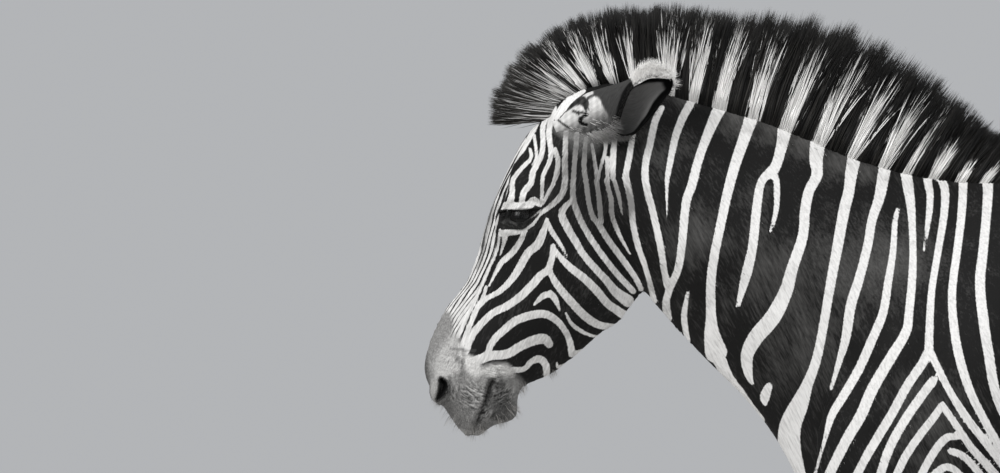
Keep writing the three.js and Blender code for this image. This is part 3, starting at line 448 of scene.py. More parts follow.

# Places where the white is duller, the painted shade of the ear behind the eye among them: grid point, radius
# and how much.
DULL_AND_SHADE = (((576, 162), 24, 0.9), ((594, 200), 30, 1.0), ((626, 203), 17, 1.0), ((604, 150), 6, -1.2),
    ((613, 158), 8, -1.1), ((628, 156), 10, -0.9), ((522, 236), 20, 0.3), ((662, 275), 14, 0.35),
    ((668, 310), 12, 0.35), ((650, 288), 12, 0.3), ((545, 345), 16, 0.1), ((548, 196), 14, 0.4))

FACE_DULL = 0.16  # how much duller the white is on the whole face

# Painted sheen: highlights painted on the dark stripes where light catches the hair: grid point, radius and
# how much lighter they are.
SHEEN = (((660, 150), 26, 0.5), ((690, 240), 30, 0.6), ((740, 200), 26, 0.35), ((770, 270), 34, 0.7),
    ((840, 270), 40, 0.6), ((900, 260), 40, 0.6), ((683, 98), 14, 0.9), ((736, 122), 16, 0.9), ((770, 130),
    14, 0.8), ((803, 143), 16, 1.0), ((840, 162), 15, 0.9), ((870, 172), 12, 0.7), ((800, 350), 40, 0.5),
    ((930, 420), 44, 0.5), ((600, 285), 18, 0.3), ((520, 310), 18, 0.3))

# ---- Markings of the rest of the body, in millimetres ----

# The line, in grid points, behind which the flank's own stripes take over from the drawn ones.
FLANK_FROM = ((1012, 140), (1003, 190), (1001, 230), (996, 283), (998, 330), (1005, 370), (1020, 408),
    (1044, 445), (1068, 478), (1092, 508), (1120, 540))
FLANK_START = (998 - GRID_X) * GRID  # X where the count of the flank's stripes begins
FLANK_PERIOD = 39
FLANK_WHITE = 0.4
TAIL_BASE = (1128, 1350)
LEG_PERIOD = (15.0, 0.024)  # at the floor, and how fast it grows with height
LEG_WHITE = 0.46
FORE_RINGS = (-99, 905, 0.62)  # X of the chevron's middle, height where the rings take over, slope
BELLY_RISE = 78  # how far above the belly line the white reaches
DORSAL = 15  # half width of the black stripe along the back
THIGH_FRONT = (640, 800)  # X between which the flank's stripes turn into the hindleg's rings
THIGH_TOP = (1010, 800)  # heights between which they do so
THIGH_COUNT = 132.5  # the hindleg's running count of stripes, less its own count of rings

# ---- Curves and lofts ----


def spline(values, at):
    """Catmull-Rom through evenly spaced rows of values, at positions from 0 to their count less one."""
    rows = np.asarray(values, float)
    last = len(rows) - 1
    at = np.clip(np.asarray(at, float), 0, last)
    if not last:
        return np.repeat(rows, at.size, 0)
    i = np.minimum(at.astype(int), last - 1)
    t = (at - i).reshape(at.shape + (1,) * (rows.ndim - 1))
    before, low, high, after = (rows[np.clip(i + k, 0, last)] for k in (-1, 0, 1, 2))
    m1, m2, d = (high - before) / 2, (after - low) / 2, high - low
    return low + t * (m1 + t * (3 * d - 2 * m1 - m2 + t * (m1 + m2 - 2 * d)))


def smooth_line(line):
    """The points of a curve through a line's points, three more between each two."""
    return spline(line, np.linspace(0, len(line) - 1, (len(line) - 1) * 4 + 1))


def ease(x, low, high):
    """0 below low, 1 above high and smooth between them."""
    t = np.clip((np.asarray(x, float) - low) / (high - low), 0, 1)
    return t * t * (3 - 2 * t)


def mix(one, two, share):
    return one + (two - one) * share


def unit(vectors):
    return vectors / np.maximum(np.linalg.norm(vectors, axis=-1, keepdims=True), 1e-9)


POLL = np.array([HEAD_ORIGIN[0], 0, HEAD_ORIGIN[1]])
HEAD_ALONG = np.array([-math.cos(HEAD_TILT), 0, -math.sin(HEAD_TILT)])
HEAD_ACROSS = np.array([math.sin(HEAD_TILT), 0, -math.cos(HEAD_TILT)])


def head_point(s, y, q):
    """Points of the head's own frame in the animal's."""
    s, y, q = (np.asarray(value, float)[..., None] for value in (s, y, q))
    return POLL + s * HEAD_ALONG + y * np.array([0, 1, 0]) + q * HEAD_ACROSS


def in_head(points):
    """The head's own s and q of points of the animal."""
    away = points - POLL
    return away @ HEAD_ALONG, away @ HEAD_ACROSS


def frame_shift():
    """The part's frame less the animal's, in metres, found from the eyes."""
    low, high = (np.array(corner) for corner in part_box("eye_left"))
    return (low + high) / 2 - head_point(EYE["s"], -EYE["y"], EYE["q"]) / 1000


SHIFT = frame_shift()


def to_frame(points):
    """Metres in the part's frame from millimetres in the animal's."""
    return np.asarray(points, float) / 1000 + SHIFT


def to_grid(points):
    """Where points of the left side, or of the right side mirrored, fall on the side view's grid."""
    reach = bpy.context.scene.zebra_stage.camera_distance * 1000
    size = reach / (reach - np.abs(points[:, 1]) - VIEW_PLANE)
    flat = (GRID_X + points[:, 0] / GRID, (GRID_Z - points[:, 2]) / GRID)
    return np.stack([middle + (value - middle) * size for middle, value in zip(VIEW_CENTRE, flat)], 1)


def loft(table, per, sides, side=1, grow=0.0, place=None):
    """Rings of points through a table of sections."""
    rows = np.linspace(0, len(table) - 1, (len(table) - 1) * per + 1)
    front = spline([row[0] for row in table], rows)
    back = spline([row[1] for row in table], rows)
    half = spline([row[2] for row in table], rows) + grow
    middle = spline([row[3] if len(row) > 3 else 0.0 for row in table], rows)
    out = unit(front - back) * grow
    front, back = front + out, back - out
    turn = np.arange(sides) * 2 * math.pi / sides
    share = (1 - np.cos(turn)) / 2
    envelope = half @ spline(np.eye(half.shape[1]), share * (half.shape[1] - 1)).T
    point = front[:, None] + (back - front)[:, None] * share[None, :, None]
    across = side * middle[:, None] + np.sin(turn) * envelope
    return (place or (lambda x, y, z: np.stack([x, y, z], -1)))(point[..., 0], across, point[..., 1])


def ball(centre, radii, sides=32):
    """Rings of an ellipsoid in the head's own frame."""
    polar = np.linspace(0.02, math.pi - 0.02, sides // 2)[:, None]
    turn = (np.arange(sides) * 2 * math.pi / sides)[None, :]
    s = centre[0] + radii[0] * np.cos(polar) + 0 * turn
    y = centre[1] + radii[1] * np.sin(polar) * np.cos(turn)
    return head_point(s, y, centre[2] + radii[2] * np.sin(polar) * np.sin(turn))


def ring_faces(rings, sides, first=0):
    """Quads along rings of points, closed by one face at each end."""
    a = np.arange(rings - 1)[:, None] * sides + np.arange(sides)[None, :] + first
    b = np.arange(rings - 1)[:, None] * sides + (np.arange(sides)[None, :] + 1) % sides + first
    quads = np.stack([a, b, b + sides, a + sides], -1).reshape(-1, 4).tolist()
    start = [first + k for k in range(sides)]
    return [*quads, start[::-1], [first + (rings - 1) * sides + k for k in range(sides)]]


def mesh_of(name, points, faces):
    """A mesh in the part's frame from points in millimetres."""
    mesh = bpy.data.meshes.new(name)
    mesh.from_pydata(to_frame(points).tolist(), [], faces)
    mesh.update()
    return mesh


def face_out(mesh):
    """Turns a closed mesh's faces outwards."""
    form = bmesh.new()
    form.from_mesh(mesh)
    bmesh.ops.recalc_face_normals(form, faces=form.faces)
    form.to_mesh(mesh)
    form.free()
    return mesh


def piece(name, mesh, material, slot, *nodes):
    """Shows a finished mesh as a piece on the body, standing for the given nodes."""
    mesh.polygons.foreach_set("use_smooth", np.ones(len(mesh.polygons), bool))
    mesh.materials.clear()
    mesh.materials.append(material)
    thing = bpy.data.objects.new(name, mesh)
    bpy.context.scene.collection.objects.link(thing)
    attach(thing, "root")
    if nodes:
        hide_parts(*nodes)
    return thing


def values_of(items, key, width=3, kind=np.float32):
    """One value of each item of a mesh, as rows."""
    flat = np.zeros(len(items) * width, kind)
    items.foreach_get(key, flat)
    return flat.reshape(-1, width)


def points_of(mesh):
    """A mesh's points in the animal's frame, in millimetres."""
    return (values_of(mesh.vertices, "co").astype(float) - SHIFT) * 1000


def set_points(mesh, points):
    mesh.vertices.foreach_set("co", to_frame(points).astype(np.float32).ravel())
    mesh.update()


def normals_of(mesh):
    return values_of(mesh.vertices, "normal").astype(float)


def store(mesh, name, values):
    """Keeps one number or one vector for each point of a mesh."""
    values = np.asarray(values, np.float32)
    kind, key = ("FLOAT", "value") if values.ndim == 1 else ("FLOAT_VECTOR", "vector")
    mesh.attributes.new(name, kind, "POINT").data.foreach_set(key, values.ravel())


def relax(mesh, weight, rounds, shrink=0.5, swell=-0.52):
    """Evens out a mesh's points by their neighbours, by a weight for each, without shrinking the form."""
    one, two = values_of(mesh.edges, "vertices", 2, np.int32).T
    points = points_of(mesh)
    count = len(points)
    near = np.maximum(np.bincount(one, minlength=count) + np.bincount(two, minlength=count), 1)
    for step in [shrink, swell] * rounds:
        mean = np.stack([np.bincount(one, points[two, k], count) + np.bincount(two, points[one, k], count)
                         for k in range(3)], 1) / near[:, None]
        points = points + (mean - points) * (step * weight)[:, None]
    set_points(mesh, points)


def refine(mesh, wanted):
    """Halves the edges between wanted points."""
    form = bmesh.new()
    form.from_mesh(mesh)
    form.verts.ensure_lookup_table()
    edges = [edge for edge in form.edges if wanted[edge.verts[0].index] and wanted[edge.verts[1].index]]
    bmesh.ops.subdivide_edges(form, edges=edges, cuts=1, use_grid_fill=True)
    form.to_mesh(mesh)
    form.free()
    mesh.update()


# ---- Strokes ----


def from_segment(spots, a, b):
    """How far along a segment spots lie, from 0 to 1, and how far away from it."""
    d = b - a
    t = np.clip((spots - a) @ d / max(d @ d, 1e-6), 0, 1)
    return t, np.hypot(*(spots - a - t[:, None] * d).T)


def near_line(spots, line, reach):
    """Which spots lie within reach of the box round a line."""
    return np.flatnonzero(np.all((spots > line.min(0) - reach) & (spots < line.max(0) + reach), 1))


def stroke_depth(grid, strokes, margin=FAR_OUT):
    """How far inside the nearest stroke each grid point lies, in grid units, and negative outside."""
    depth = np.full(len(grid), -margin)
    for line, widths in strokes:
        fine = smooth_line(line)
        half = spline(np.array(widths, float) / 2, np.linspace(0, len(widths) - 1, len(fine)))
        near = near_line(grid, fine, margin + half.max())
        best = np.full(len(near), -margin)
        for a, b, wa, wb in zip(fine[:-1], fine[1:], half[:-1], half[1:]):
            t, away = from_segment(grid[near], a, b)
            best = np.maximum(best, wa + (wb - wa) * t - away)
        depth[near] = np.maximum(depth[near], best)
    return depth


def run_on(stroke):
    """A stroke carried on below the lowest drawn row, in its last direction."""
    line, widths = stroke
    (ax, ay), (bx, by) = line[-2:]
    if by < RUN_ON_FROM:
        return stroke
    share = RUN_ON / math.hypot(bx - ax, by - ay)
    return (*line, (bx + (bx - ax) * share, by + (by - ay) * share)), (*widths, widths[-1])


def column_at(line, rows):
    """The column of a line drawn downwards, at each row."""
    line = np.array(line, float)
    return np.interp(rows, line[:, 1], line[:, 0])


def banded(cycles, period, white):
    """How far inside the white of evenly spaced bands, in grid units."""
    return (white / 2 - np.abs(cycles - np.round(cycles))) * period / GRID


def leg_cycles(height):
    """A leg's running count of stripes at a height, and how far apart they are there."""
    base, slope = LEG_PERIOD
    period = base + slope * np.maximum(height, 0)
    return np.log(period) / slope, period


def trunk_line(x, edge, rows):
    """Height of the trunk's upper (0) or lower (1) edge at x, through some of its sections."""
    line = np.array([row[edge] for row in TRUNK[rows]], float)
    return np.interp(x, line[:, 0], line[:, 1])


def flank_stripes(points, grid, normals):
    """Stripes behind the drawn ones: upright on the flank, curving round the base of the tail on the rump."""
    x, y, z = points.T
    edge = (column_at(FLANK_FROM, grid[:, 1]) - GRID_X) * GRID
    lean = (edge - FLANK_START) * np.exp(-np.maximum(x - edge, 0) / 300)
    wave = 5 * np.sin(z / 118 + x / 190) + 3 * np.sin(z / 53 - x / 97 + 1.3)
    behind = TAIL_BASE[0] - (x - lean) + wave * ease(x, 0, 200)
    below = TAIL_BASE[1] - z
    distance = np.hypot(behind, ease(x, 540, 900) * below)
    cycles = (distance - TAIL_BASE[0] + FLANK_START) / FLANK_PERIOD + 0.5 - (np.maximum(x, 0) / 1000) ** 2
    leg, leg_period = leg_cycles(z + 0.25 * (x - 1000) * ease(z, 500, 900))
    to_leg = ease(z, *THIGH_TOP) * ease(x, *THIGH_FRONT)
    cycles = mix(cycles, THIGH_COUNT - leg, to_leg)
    period = mix(FLANK_PERIOD - 7 * ease(x, 300, 1000), leg_period, to_leg)
    white = mix(FLANK_WHITE + 0.05 * np.sin(x / 61 + z / 140) + 0.1 * ease(x, 700, 1000), LEG_WHITE, to_leg)
    depth = banded(cycles, period, white)
    depth = np.maximum(depth, inner_white(points, normals, 560, 800) - FAR_OUT * (x < THIGH_FRONT[0]))
    top = z > trunk_line(x, 0, slice(6, None)) - 70
    dorsal = (np.abs(y) - DORSAL - 10 * ease(x, 300, 1000)) / GRID
    margin = np.minimum(dorsal, 9 / GRID - dorsal) - FAR_OUT * (1 - ease(x, 500, 800))
    return np.where(top, np.minimum(np.maximum(depth, margin), dorsal), depth)


def inner_white(points, normals, low, high):
    """How far inside the white of a leg's inner side, which narrows from one height down to another."""
    inwards = -normals[:, 1] * np.sign(points[:, 1])
    return np.clip((inwards - 0.3 - 0.75 * ease(points[:, 2], high, low)) * 12, -FAR_OUT, 1.5)


def fore_rings(points, normals):
    """Rings of a foreleg, rising to a chevron on the shoulder."""
    x, _, z = points.T
    middle, _, slope = FORE_RINGS
    tilt = mix(0.14, slope, ease(z, 640, 900))
    cycles, period = leg_cycles(z + tilt * np.abs(x - middle - 12))
    return np.maximum(banded(cycles, period, LEG_WHITE), inner_white(points, normals, 600, 800))


def dock_bands(points):
    """Narrow bands down the tail's dock, with a dark line behind."""
    cycles = points[:, 2] / 27 + 0.3 * np.sin(points[:, 1] / 12)
    return np.minimum(banded(cycles, 27, 0.52), (1210 - points[:, 0]) / GRID)


def stripes(points, normals, grid):
    """The white of the whole coat as a depth in grid units, positive inside the white."""
    x, y, z = points.T
    drawn = stroke_depth(grid, [*map(run_on, NECK_STROKES.values()), *CHEEK_STROKES.values(),
                                *BROW_STROKES.values()])
    middle, top, slope = FORE_RINGS
    by_leg = (x < 90) & (x > -420)
    above_rings = z + slope * np.abs(x - middle) - top
    fore = (above_rings < 0) & by_leg
    rear = (grid[:, 0] > column_at(FLANK_FROM, grid[:, 1])) & ~(fore & (z < 800))
    depth = np.where(fore, fore_rings(points, normals), drawn)
    depth = np.where(rear, flank_stripes(points, grid, normals), depth)
    fence = np.abs(above_rings) / GRID - 3
    depth = np.where(~rear & by_leg, np.minimum(depth, fence), depth)
    rise = BELLY_RISE * mix(0.35, 1, ease(x, -60, 120)) * (1 - ease(x, 520, 740))
    belly = np.minimum((trunk_line(x, 1, slice(9, 20)) + rise - z) * 0.16 + 0.3, FAR_OUT)
    under = (x > -330) & (x < 780) & (z > 700) & ((x > 40) | (np.abs(y) < 75))
    depth = np.where(under, np.maximum(depth, belly), depth)
    on_tail = (x > 1155) & (z < 1310)
    depth = np.where(on_tail, dock_bands(points), depth)
    return np.where(z < 96, -3, depth)


def nose_lines(points, grid):
    """The running count of the fine lines round the nose, and where they show."""
    front, rear = column_at(NOSE_FRONT, grid[:, 1]), column_at(NOSE_REAR, grid[:, 1])
    narrow = 1 - 0.2 * ease(grid[:, 1], 250, 340)
    over = NOSE_FLAT * np.tanh(np.abs(points[:, 1]) / NOSE_FLAT) * 0.62 / GRID
    wave = 0.9 * np.sin(grid[:, 1] / 13 + over) + 0.5 * np.sin(grid[:, 1] / 5.3 + 2 * over)
    round_nose = (over + np.maximum(grid[:, 0] - front, 0)) / narrow + wave
    s, _ = in_head(points)
    shows = np.minimum(rear + 2 - grid[:, 0], np.minimum(s - 118, 530 - s) / 3)
    return round_nose / NOSE_SPACING + 0.5, np.clip(shows, -6, 6)


def tones(points, grid):
    """Grey laid over the stripes, with painted shade and highlights among it, and its weight."""
    tone, weight = np.full(len(grid), 0.5), np.zeros(len(grid))
    s, _ = in_head(points)
    for line, widths, grey, soft, share in TONES.values():
        over = share * ease(stroke_depth(grid, [(line, widths)], 12), -soft, soft)
        over = np.where(s > 60, over, 0)
        tone = mix(tone, grey, np.where(weight > 0.001, over, 1 * (over > 0)))
        weight = mix(weight, 1, over)
    return tone, weight


def wrinkles(grid):
    """A place across and along the wrinkles round the mouth, in wrinkles, and how deep they are."""
    place, depth = np.zeros((len(grid), 3)), np.zeros(len(grid))
    for centre, radius, hub, spacing, deep in WRINKLES:
        here = deep * np.exp(-((np.linalg.norm(grid - np.array(centre), axis=1) / radius) ** 4))
        away = grid - np.array(hub)
        reach = np.linalg.norm(np.array(centre) - np.array(hub))
        across, along = np.linalg.norm(away, axis=1) / spacing, np.arctan2(*away.T) * reach / spacing
        place = np.where((here > depth)[:, None], np.stack([across, along, 0 * across], 1), place)
        depth = np.maximum(depth, here)
    return place, depth


def spots(grid, table):
    """Soft round places, added up."""
    total = np.zeros(len(grid))
    for centre, radius, amount in table:
        total += amount * np.exp(-np.sum((grid - np.array(centre)) ** 2, 1) / (radius * radius))
    return np.clip(total, 0, 1)


def mark(mesh, points, normals):
    """Stores the coat's markings, with its painted sheen and painted shade, on a mesh whose points have these
    places and normals.
    """
    grid = to_grid(points)
    s, _ = in_head(points)
    marks = {"stripe": stripes(points, normals, grid)}
    marks["nose_count"], marks["nose_shows"] = nose_lines(points, grid)
    marks["nose_white"] = mix(*NOSE_WHITE, ease(grid[:, 1], 245, 315))
    marks["tone"], marks["tone_weight"] = tones(points, grid)
    marks["wrinkle"], marks["wrinkle_depth"] = wrinkles(grid)
    marks["dull_and_shade"] = spots(grid, DULL_AND_SHADE) + FACE_DULL * ease(s, 120, 220) * (points[:, 0] < HEAD_FROM)
    marks["sheen"] = spots(grid, SHEEN)
    marks["grain"] = grain(points)
    for name, values in marks.items():
        store(mesh, name, values)


def grain(points):
    """A place along and across the lie of the hair, in millimetres."""
    s, q = in_head(points)
    x, y, z = points.T
    head, leg = x < HEAD_FROM, z < 780
    along = np.where(head, s, np.where(leg, z, 0.45 * x - 0.9 * z))
    across = np.where(head, q, np.where(leg, x, 0.9 * x + 0.45 * z))
    return np.stack([along, across, y], 1)


# ---- Finishes ----


def overload(operation, reflected=False):
    """A method that adds a Math node of a socket and another value."""
    def apply(self, other):
        return self.math(operation, *((other, self) if reflected else (self, other)))
    return apply


class Socket:
    """A shader socket that adds Math nodes when it is used in an expression."""

    __add__, __radd__ = overload("ADD"), overload("ADD", True)
    __sub__, __rsub__ = overload("SUBTRACT"), overload("SUBTRACT", True)
    __mul__, __rmul__ = overload("MULTIPLY"), overload("MULTIPLY", True)
    __pow__ = overload("POWER")

    def __init__(self, finish, out):
        self.finish = finish
        self.out = out

    def math(self, operation, *values):
        return self.finish.add("ShaderNodeMath", {"operation": operation}, values)

    def __abs__(self):
        return self.math("ABSOLUTE", self)

    def above(self, low, high):
        """0 below low, 1 above high and smooth between them."""
        return self.finish.add("ShaderNodeMapRange", {"interpolation_type": "SMOOTHSTEP"},
                               {"Value": self, "From Min": low, "From Max": high})


class Finish:
    """A material of one shader, with its constant values set on the shader's own sockets."""

    def __init__(self, name, **constants):
        self.material = bpy.data.materials.new(name)
        self.material.use_nodes = True
        self.tree = self.material.node_tree
        self.shader = self.tree.nodes["Principled BSDF"]
        for socket, value in constants.items():
            self.shader.inputs[socket.replace("_", " ")].default_value = value

    def add(self, kind, settings=None, inputs=(), out=0):
        """Adds a node: its settings first, then the values or links of its sockets."""
        node = self.tree.nodes.new(kind)
        for key, value in (settings or {}).items():
            setattr(node, key, value)
        for key, value in inputs.items() if isinstance(inputs, dict) else enumerate(inputs):
            if isinstance(value, Socket):
                self.tree.links.new(value.out, node.inputs[key])
            else:
                node.inputs[key].default_value = value
        return Socket(self, node.outputs[out])

    def number(self, name):
        return self.add("ShaderNodeAttribute", {"attribute_name": name}, out="Fac")

    def place(self, name):
        return self.add("ShaderNodeAttribute", {"attribute_name": name}, out="Vector")

    def blend(self, factor, one, two):
        return self.add("ShaderNodeMix", {"data_type": "RGBA"}, {0: factor, 6: one, 7: two}, out=2)

    def noise(self, vector, sizes, detail=2.0):
        """Noise from 0 to 1 with features of about these sizes."""
        scaled = self.add("ShaderNodeVectorMath", {"operation": "MULTIPLY"},
                          [vector, tuple(1 / size for size in sizes)])
        return self.add("ShaderNodeTexNoise", {}, {"Vector": scaled, "Scale": 1.0, "Detail": detail})

    def relief(self, height, strength, distance):
        bump = self.add("ShaderNodeBump", {}, {"Height": height, "Strength": strength, "Distance": distance})
        self.tree.links.new(bump.out, self.shader.inputs["Normal"])

    def feed(self, socket, value):
        self.tree.links.new(value.out, self.shader.inputs[socket])
        return self.material


def tint(colour, light=1.0):
    return (*[value * light for value in colour], 1.0)


NO_LIGHT = (0.0, 0.0, 0.0, 1.0)
GREY_TO_LIGHT = 2.2  # power that turns a grey as it looks into the light that it gives back


def coat_finish(colours):
    """Black and white hair that lies flat, grey on the muzzle, with painted sheen on the black and painted
    shade on the white, and the grain of the coat in its relief.
    """
    coat = Finish("striped_coat", Roughness=0.7, Specular_IOR_Level=0.14)
    lie = coat.place("grain")
    streaks = coat.noise(lie, (11.0, 1.5, 1.5), 3.0)
    locks = coat.noise(lie, (30.0, 4.2, 4.2), 3.0)
    patches = coat.noise(lie, (70.0, 45.0, 45.0), 2.0)
    fuzz = coat.noise(lie, (8.0, 1.7, 1.7), 2.5)
    edge = (fuzz - 0.5) * 2.2
    drawn = (coat.number("stripe") + edge).above(-0.42, 0.42)
    count = coat.number("nose_count")
    line = coat.number("nose_white") * 0.5 + (patches - 0.5) * 0.4 - abs(count.math("FRACT", count) - 0.5)
    lines = (line * NOSE_SPACING + edge * 0.55).above(-0.45, 0.45)
    on_nose = coat.number("nose_shows").above(-0.6, 0.6)
    white = drawn + (lines - drawn) * on_nose
    strands = (streaks - 0.5) * 0.7 + (locks - 0.5) * 1.1
    # The white greys by the dull mark, which holds painted shade under the ear as well as duller white.
    pale = coat.blend(coat.number("dull_and_shade") + 0.1 + strands, tint(colours.white), tint(colours.dull_and_shade))
    # The dark stripes lighten towards the black in the light by the painted sheen, and by random streaks and
    # patches.
    shine = coat.number("sheen") * 0.9 + strands + (patches - 0.58) * 0.9
    dark = coat.blend(shine, tint(colours.black), tint(colours.black_shine))
    striped = coat.blend(white, dark, pale)
    mottle = coat.noise(lie, (4.5, 2.2, 2.2), 4.0)
    creases = coat.noise(lie, (2.6, 13.0, 13.0), 3.0)
    on_skin = coat.number("tone_weight")
    folds = (coat.noise(coat.place("wrinkle"), (0.75, 2.6, 1.0), 1.0) - 0.5) * coat.number("wrinkle_depth")
    grey = coat.number("tone") + ((mottle - 0.5) * 0.4 + (creases - 0.5) * 0.16) * on_skin + folds * 1.1
    skin = coat.blend(grey.math("MAXIMUM", grey, 0.01) ** GREY_TO_LIGHT, NO_LIGHT, tint(colours.muzzle))
    coat.relief(streaks + mottle * 0.6 + creases * on_skin * 1.2 + folds * 3, 0.5, 0.001)
    return coat.feed("Base Color", coat.blend(coat.number("tone_weight"), striped, skin))


def ear_finish(colours):
    """Short hair on the ear: white with dark marks outside, dark inside."""
    ear = Finish("ear_hair", Roughness=0.8, Specular_IOR_Level=0.1)
    lie = ear.place("grain")
    streaks = ear.noise(lie, (10.0, 1.6, 1.6), 3.0)
    grey = ear.number("tone") + (streaks - 0.5) * 0.16
    grey = grey.math("MAXIMUM", grey, 0.02) ** GREY_TO_LIGHT
    ear.relief(streaks, 0.5, 0.001)
    return ear.feed("Base Color", ear.blend(grey, NO_LIGHT, tint(colours.white, 1.15)))


def hair_finish(name, colours, brown=0.5):
    """Long hair, white from the root as far as each hair's own reach and dark beyond it."""
    hair = Finish(name, Roughness=0.55, Specular_IOR_Level=0.22)
    along = hair.number("along")
    bright = hair.number("white") * (1 - (along - hair.number("reach")).above(-0.06, 0.06))
    shade = hair.number("shade")
    dark = hair.blend(shade * brown, tint(colours.hair_dark), tint(colours.hair_brown))
    pale = hair.blend(shade * 0.4 + along * 0.15, tint(colours.white, 1.32), tint(colours.dull_and_shade, 1.2))
    return hair.feed("Base Color", hair.blend(bright, dark, pale))


def plain_hair_finish(name, root, tip):
    """Short hair that runs from one colour at the root to another at the tip, each hair a little its own."""
    hair = Finish(name, Roughness=0.5, Specular_IOR_Level=0.3)
    mixed = hair.number("along") * 0.8 + (hair.number("shade") - 0.5) * 0.7
    return hair.feed("Base Color", hair.blend(mixed, tint(root), tint(tip)))


def horn_finish(colours):
    """Hoof horn with fine upright fibres and growth rings."""
    horn = Finish("hoof_horn", Roughness=0.42, Specular_IOR_Level=0.45)
    lie = horn.place("grain")
    fibres = horn.noise(lie, (60.0, 1.3, 1.3), 3.0)
    rings = horn.noise(lie, (5.0, 90.0, 90.0), 2.0)
    horn.relief(fibres * 0.5 + rings, 0.5, 0.001)
    mixed = fibres * 0.5 + rings * 0.5
    return horn.feed("Base Color", horn.blend(mixed, tint(colours.horn, 0.6), tint(colours.horn, 1.7)))


def eye_finish(colours):
    """A wet dark eye: a wide pupil, a brown iris with rays and a dark rim."""
    eye = Finish("wet_eye", Roughness=0.22, Specular_IOR_Level=0.2, Coat_Weight=0.05, Coat_Roughness=0.04)
    away, angle = eye.number("away"), eye.number("angle")
    rays = eye.noise(eye.place("grain"), (1.2, 1.2, 1.2), 3.0)
    iris = eye.blend(rays, tint(colours.iris, 0.5), tint(colours.iris, 1.6))
    rim = eye.blend(away.above(0.62, 0.8), iris, tint(colours.iris, 0.15))
    return eye.feed("Base Color", eye.blend(angle.above(0.9, 1.1), (0.002, 0.002, 0.002, 1.0), rim))


# ---- Hair as solid mesh ----

UV_PATCH = 0.003  # share of the unwrapped skin that one hair covers


def straight(root, way, size, t):
    """Paths of hairs from their roots, each along its own way."""
    return root[:, None] + way[:, None] * (size[:, None] * t)[..., None]


def hair_mesh(name, paths, broad, width, thick, patch, marks):
    """Tapered hairs of three sides along paths (hairs x stations x 3), each closed and ending in a point.

    broad is the way that a hair is widest, patch its root's place on the unwrapped skin, and marks are
    the values that each hair keeps.
    """
    count, stations = paths.shape[:2]
    share = np.linspace(0, 1, stations)[:-1]
    along = unit(np.gradient(paths, axis=1))[:, :-1]
    thin = unit(np.cross(along, broad[:, None]))
    wide = np.cross(thin, along)
    taper = ((1 - share) ** 0.5)[None, :, None]
    half_w, half_t = (np.asarray(value, float).reshape(-1, 1, 1) / 2 for value in (width, thick))
    middle = paths[:, :-1]
    sides = [middle - wide * half_w * taper - thin * half_t * taper * 0.5,
             middle + wide * half_w * taper - thin * half_t * taper * 0.5,
             middle + thin * half_t * taper]
    body = np.stack(sides, 2).reshape(count, -1, 3)
    points = np.concatenate([body, paths[:, -1:]], 1)
    each = points.shape[1]
    faces = [(0, 2, 1)]
    for ring in range(stations - 2):
        for k in range(3):
            a, b = ring * 3 + k, ring * 3 + (k + 1) % 3
            faces += [(a, b, b + 3), (a, b + 3, a + 3)]
    last = (stations - 2) * 3
    faces += [(last + k, last + (k + 1) % 3, each - 1) for k in range(3)]
    faces = (np.array(faces)[None] + (np.arange(count) * each)[:, None, None]).reshape(-1, 3)
    mesh = bpy.data.meshes.new(name)
    mesh.vertices.add(count * each)
    mesh.vertices.foreach_set("co", to_frame(points.reshape(-1, 3)).astype(np.float32).ravel())
    mesh.loops.add(faces.size)
    mesh.loops.foreach_set("vertex_index", faces.ravel().astype(np.int32))
    mesh.polygons.add(len(faces))
    mesh.polygons.foreach_set("loop_start", np.arange(0, faces.size, 3, dtype=np.int32))
    mesh.update(calc_edges=True)
    shares = np.append(np.repeat(share, 3), 1.0)
    corner = np.append(np.tile([0.0, 0.5, 1.0], stations - 1), 0.5)
    across = patch[:, None, 0] * (1 - UV_PATCH) + corner[None] * UV_PATCH
    up = patch[:, None, 1] * (1 - UV_PATCH) + shares[None] * UV_PATCH
    corners = np.stack([across, up], -1).reshape(-1, 2)
    layer = mesh.uv_layers.new(name="OFBake")
    layer.data.foreach_set("uv", corners[faces.ravel()].astype(np.float32).ravel())
    store(mesh, "along", np.tile(shares, count))
    for key, values in marks.items():
        store(mesh, key, np.repeat(np.asarray(values, float), each))
    return mesh


def crest(u, lift=0.0):
    """Root, lie and length of the mane's hair a share of the way along the crest."""
    at = np.asarray(u, float) * (len(MANE) - 1)
    root = spline([row[0] for row in MANE], at)
    lie = (spline([row[1] for row in MANE], at) + lift) * RAD
    length = spline([row[2] for row in MANE], at)
    flat = np.zeros(len(root))
    return np.stack([root[:, 0], flat, root[:, 1]], 1), np.stack([np.cos(lie), flat, np.sin(lie)], 1), length


# ---- Skin ----

# Forms that stand out of the head on both sides: centre and radii in the head's own frame.
BULGES = {
    "brow": ((250, 50, -23), (72, 32, 38)),
    "lids": ((262, 58, -11), (40, 31, 36)),
    "facial_crest": ((372, 56, 26), (86, 20, 14)),
    "nostril": ((596, 32, -33), (35, 34, 30)),
    "ear_base": ((70, 34, 30), (60, 40, 60)),
}
EYE_GRID = (521.8, 217.6)
PUPIL = (0.4, 0.2)  # half width and half height of the pupil, as shares of the eye's radius
OPENING_TOP = ((499, 213), (504, 211), (508, 210.8), (520, 210.3), (532, 209.4), (541, 209))
OPENING_BOTTOM = ((499, 213), (503, 217), (507, 219.5), (515, 222.5), (524, 221.5), (532, 216.5),
    (541, 209))
LID_RADIUS = 30.0
LID_TURN = 24.0  # beyond this distance the dome runs on as a cone
NOSTRIL = ((438, 381), (440, 378), (443, 377.5), (446.5, 381), (447, 387), (443.5, 393), (438.5, 399.5),
    (435, 403.5), (435.5, 398), (437.5, 390))
MOUTH = ((473, 434), (477, 422), (482, 411), (487, 399), (490, 388), (494, 381))


def stepped(table, step):
    """A leg's sections with its foot set forwards or back by a step."""
    def moved(point):
        return point[0] + step * max(0, 1 - point[1] / STEP_FROM), point[1]
    return [(moved(row[0]), moved(row[1]), *row[2:]) for row in table]


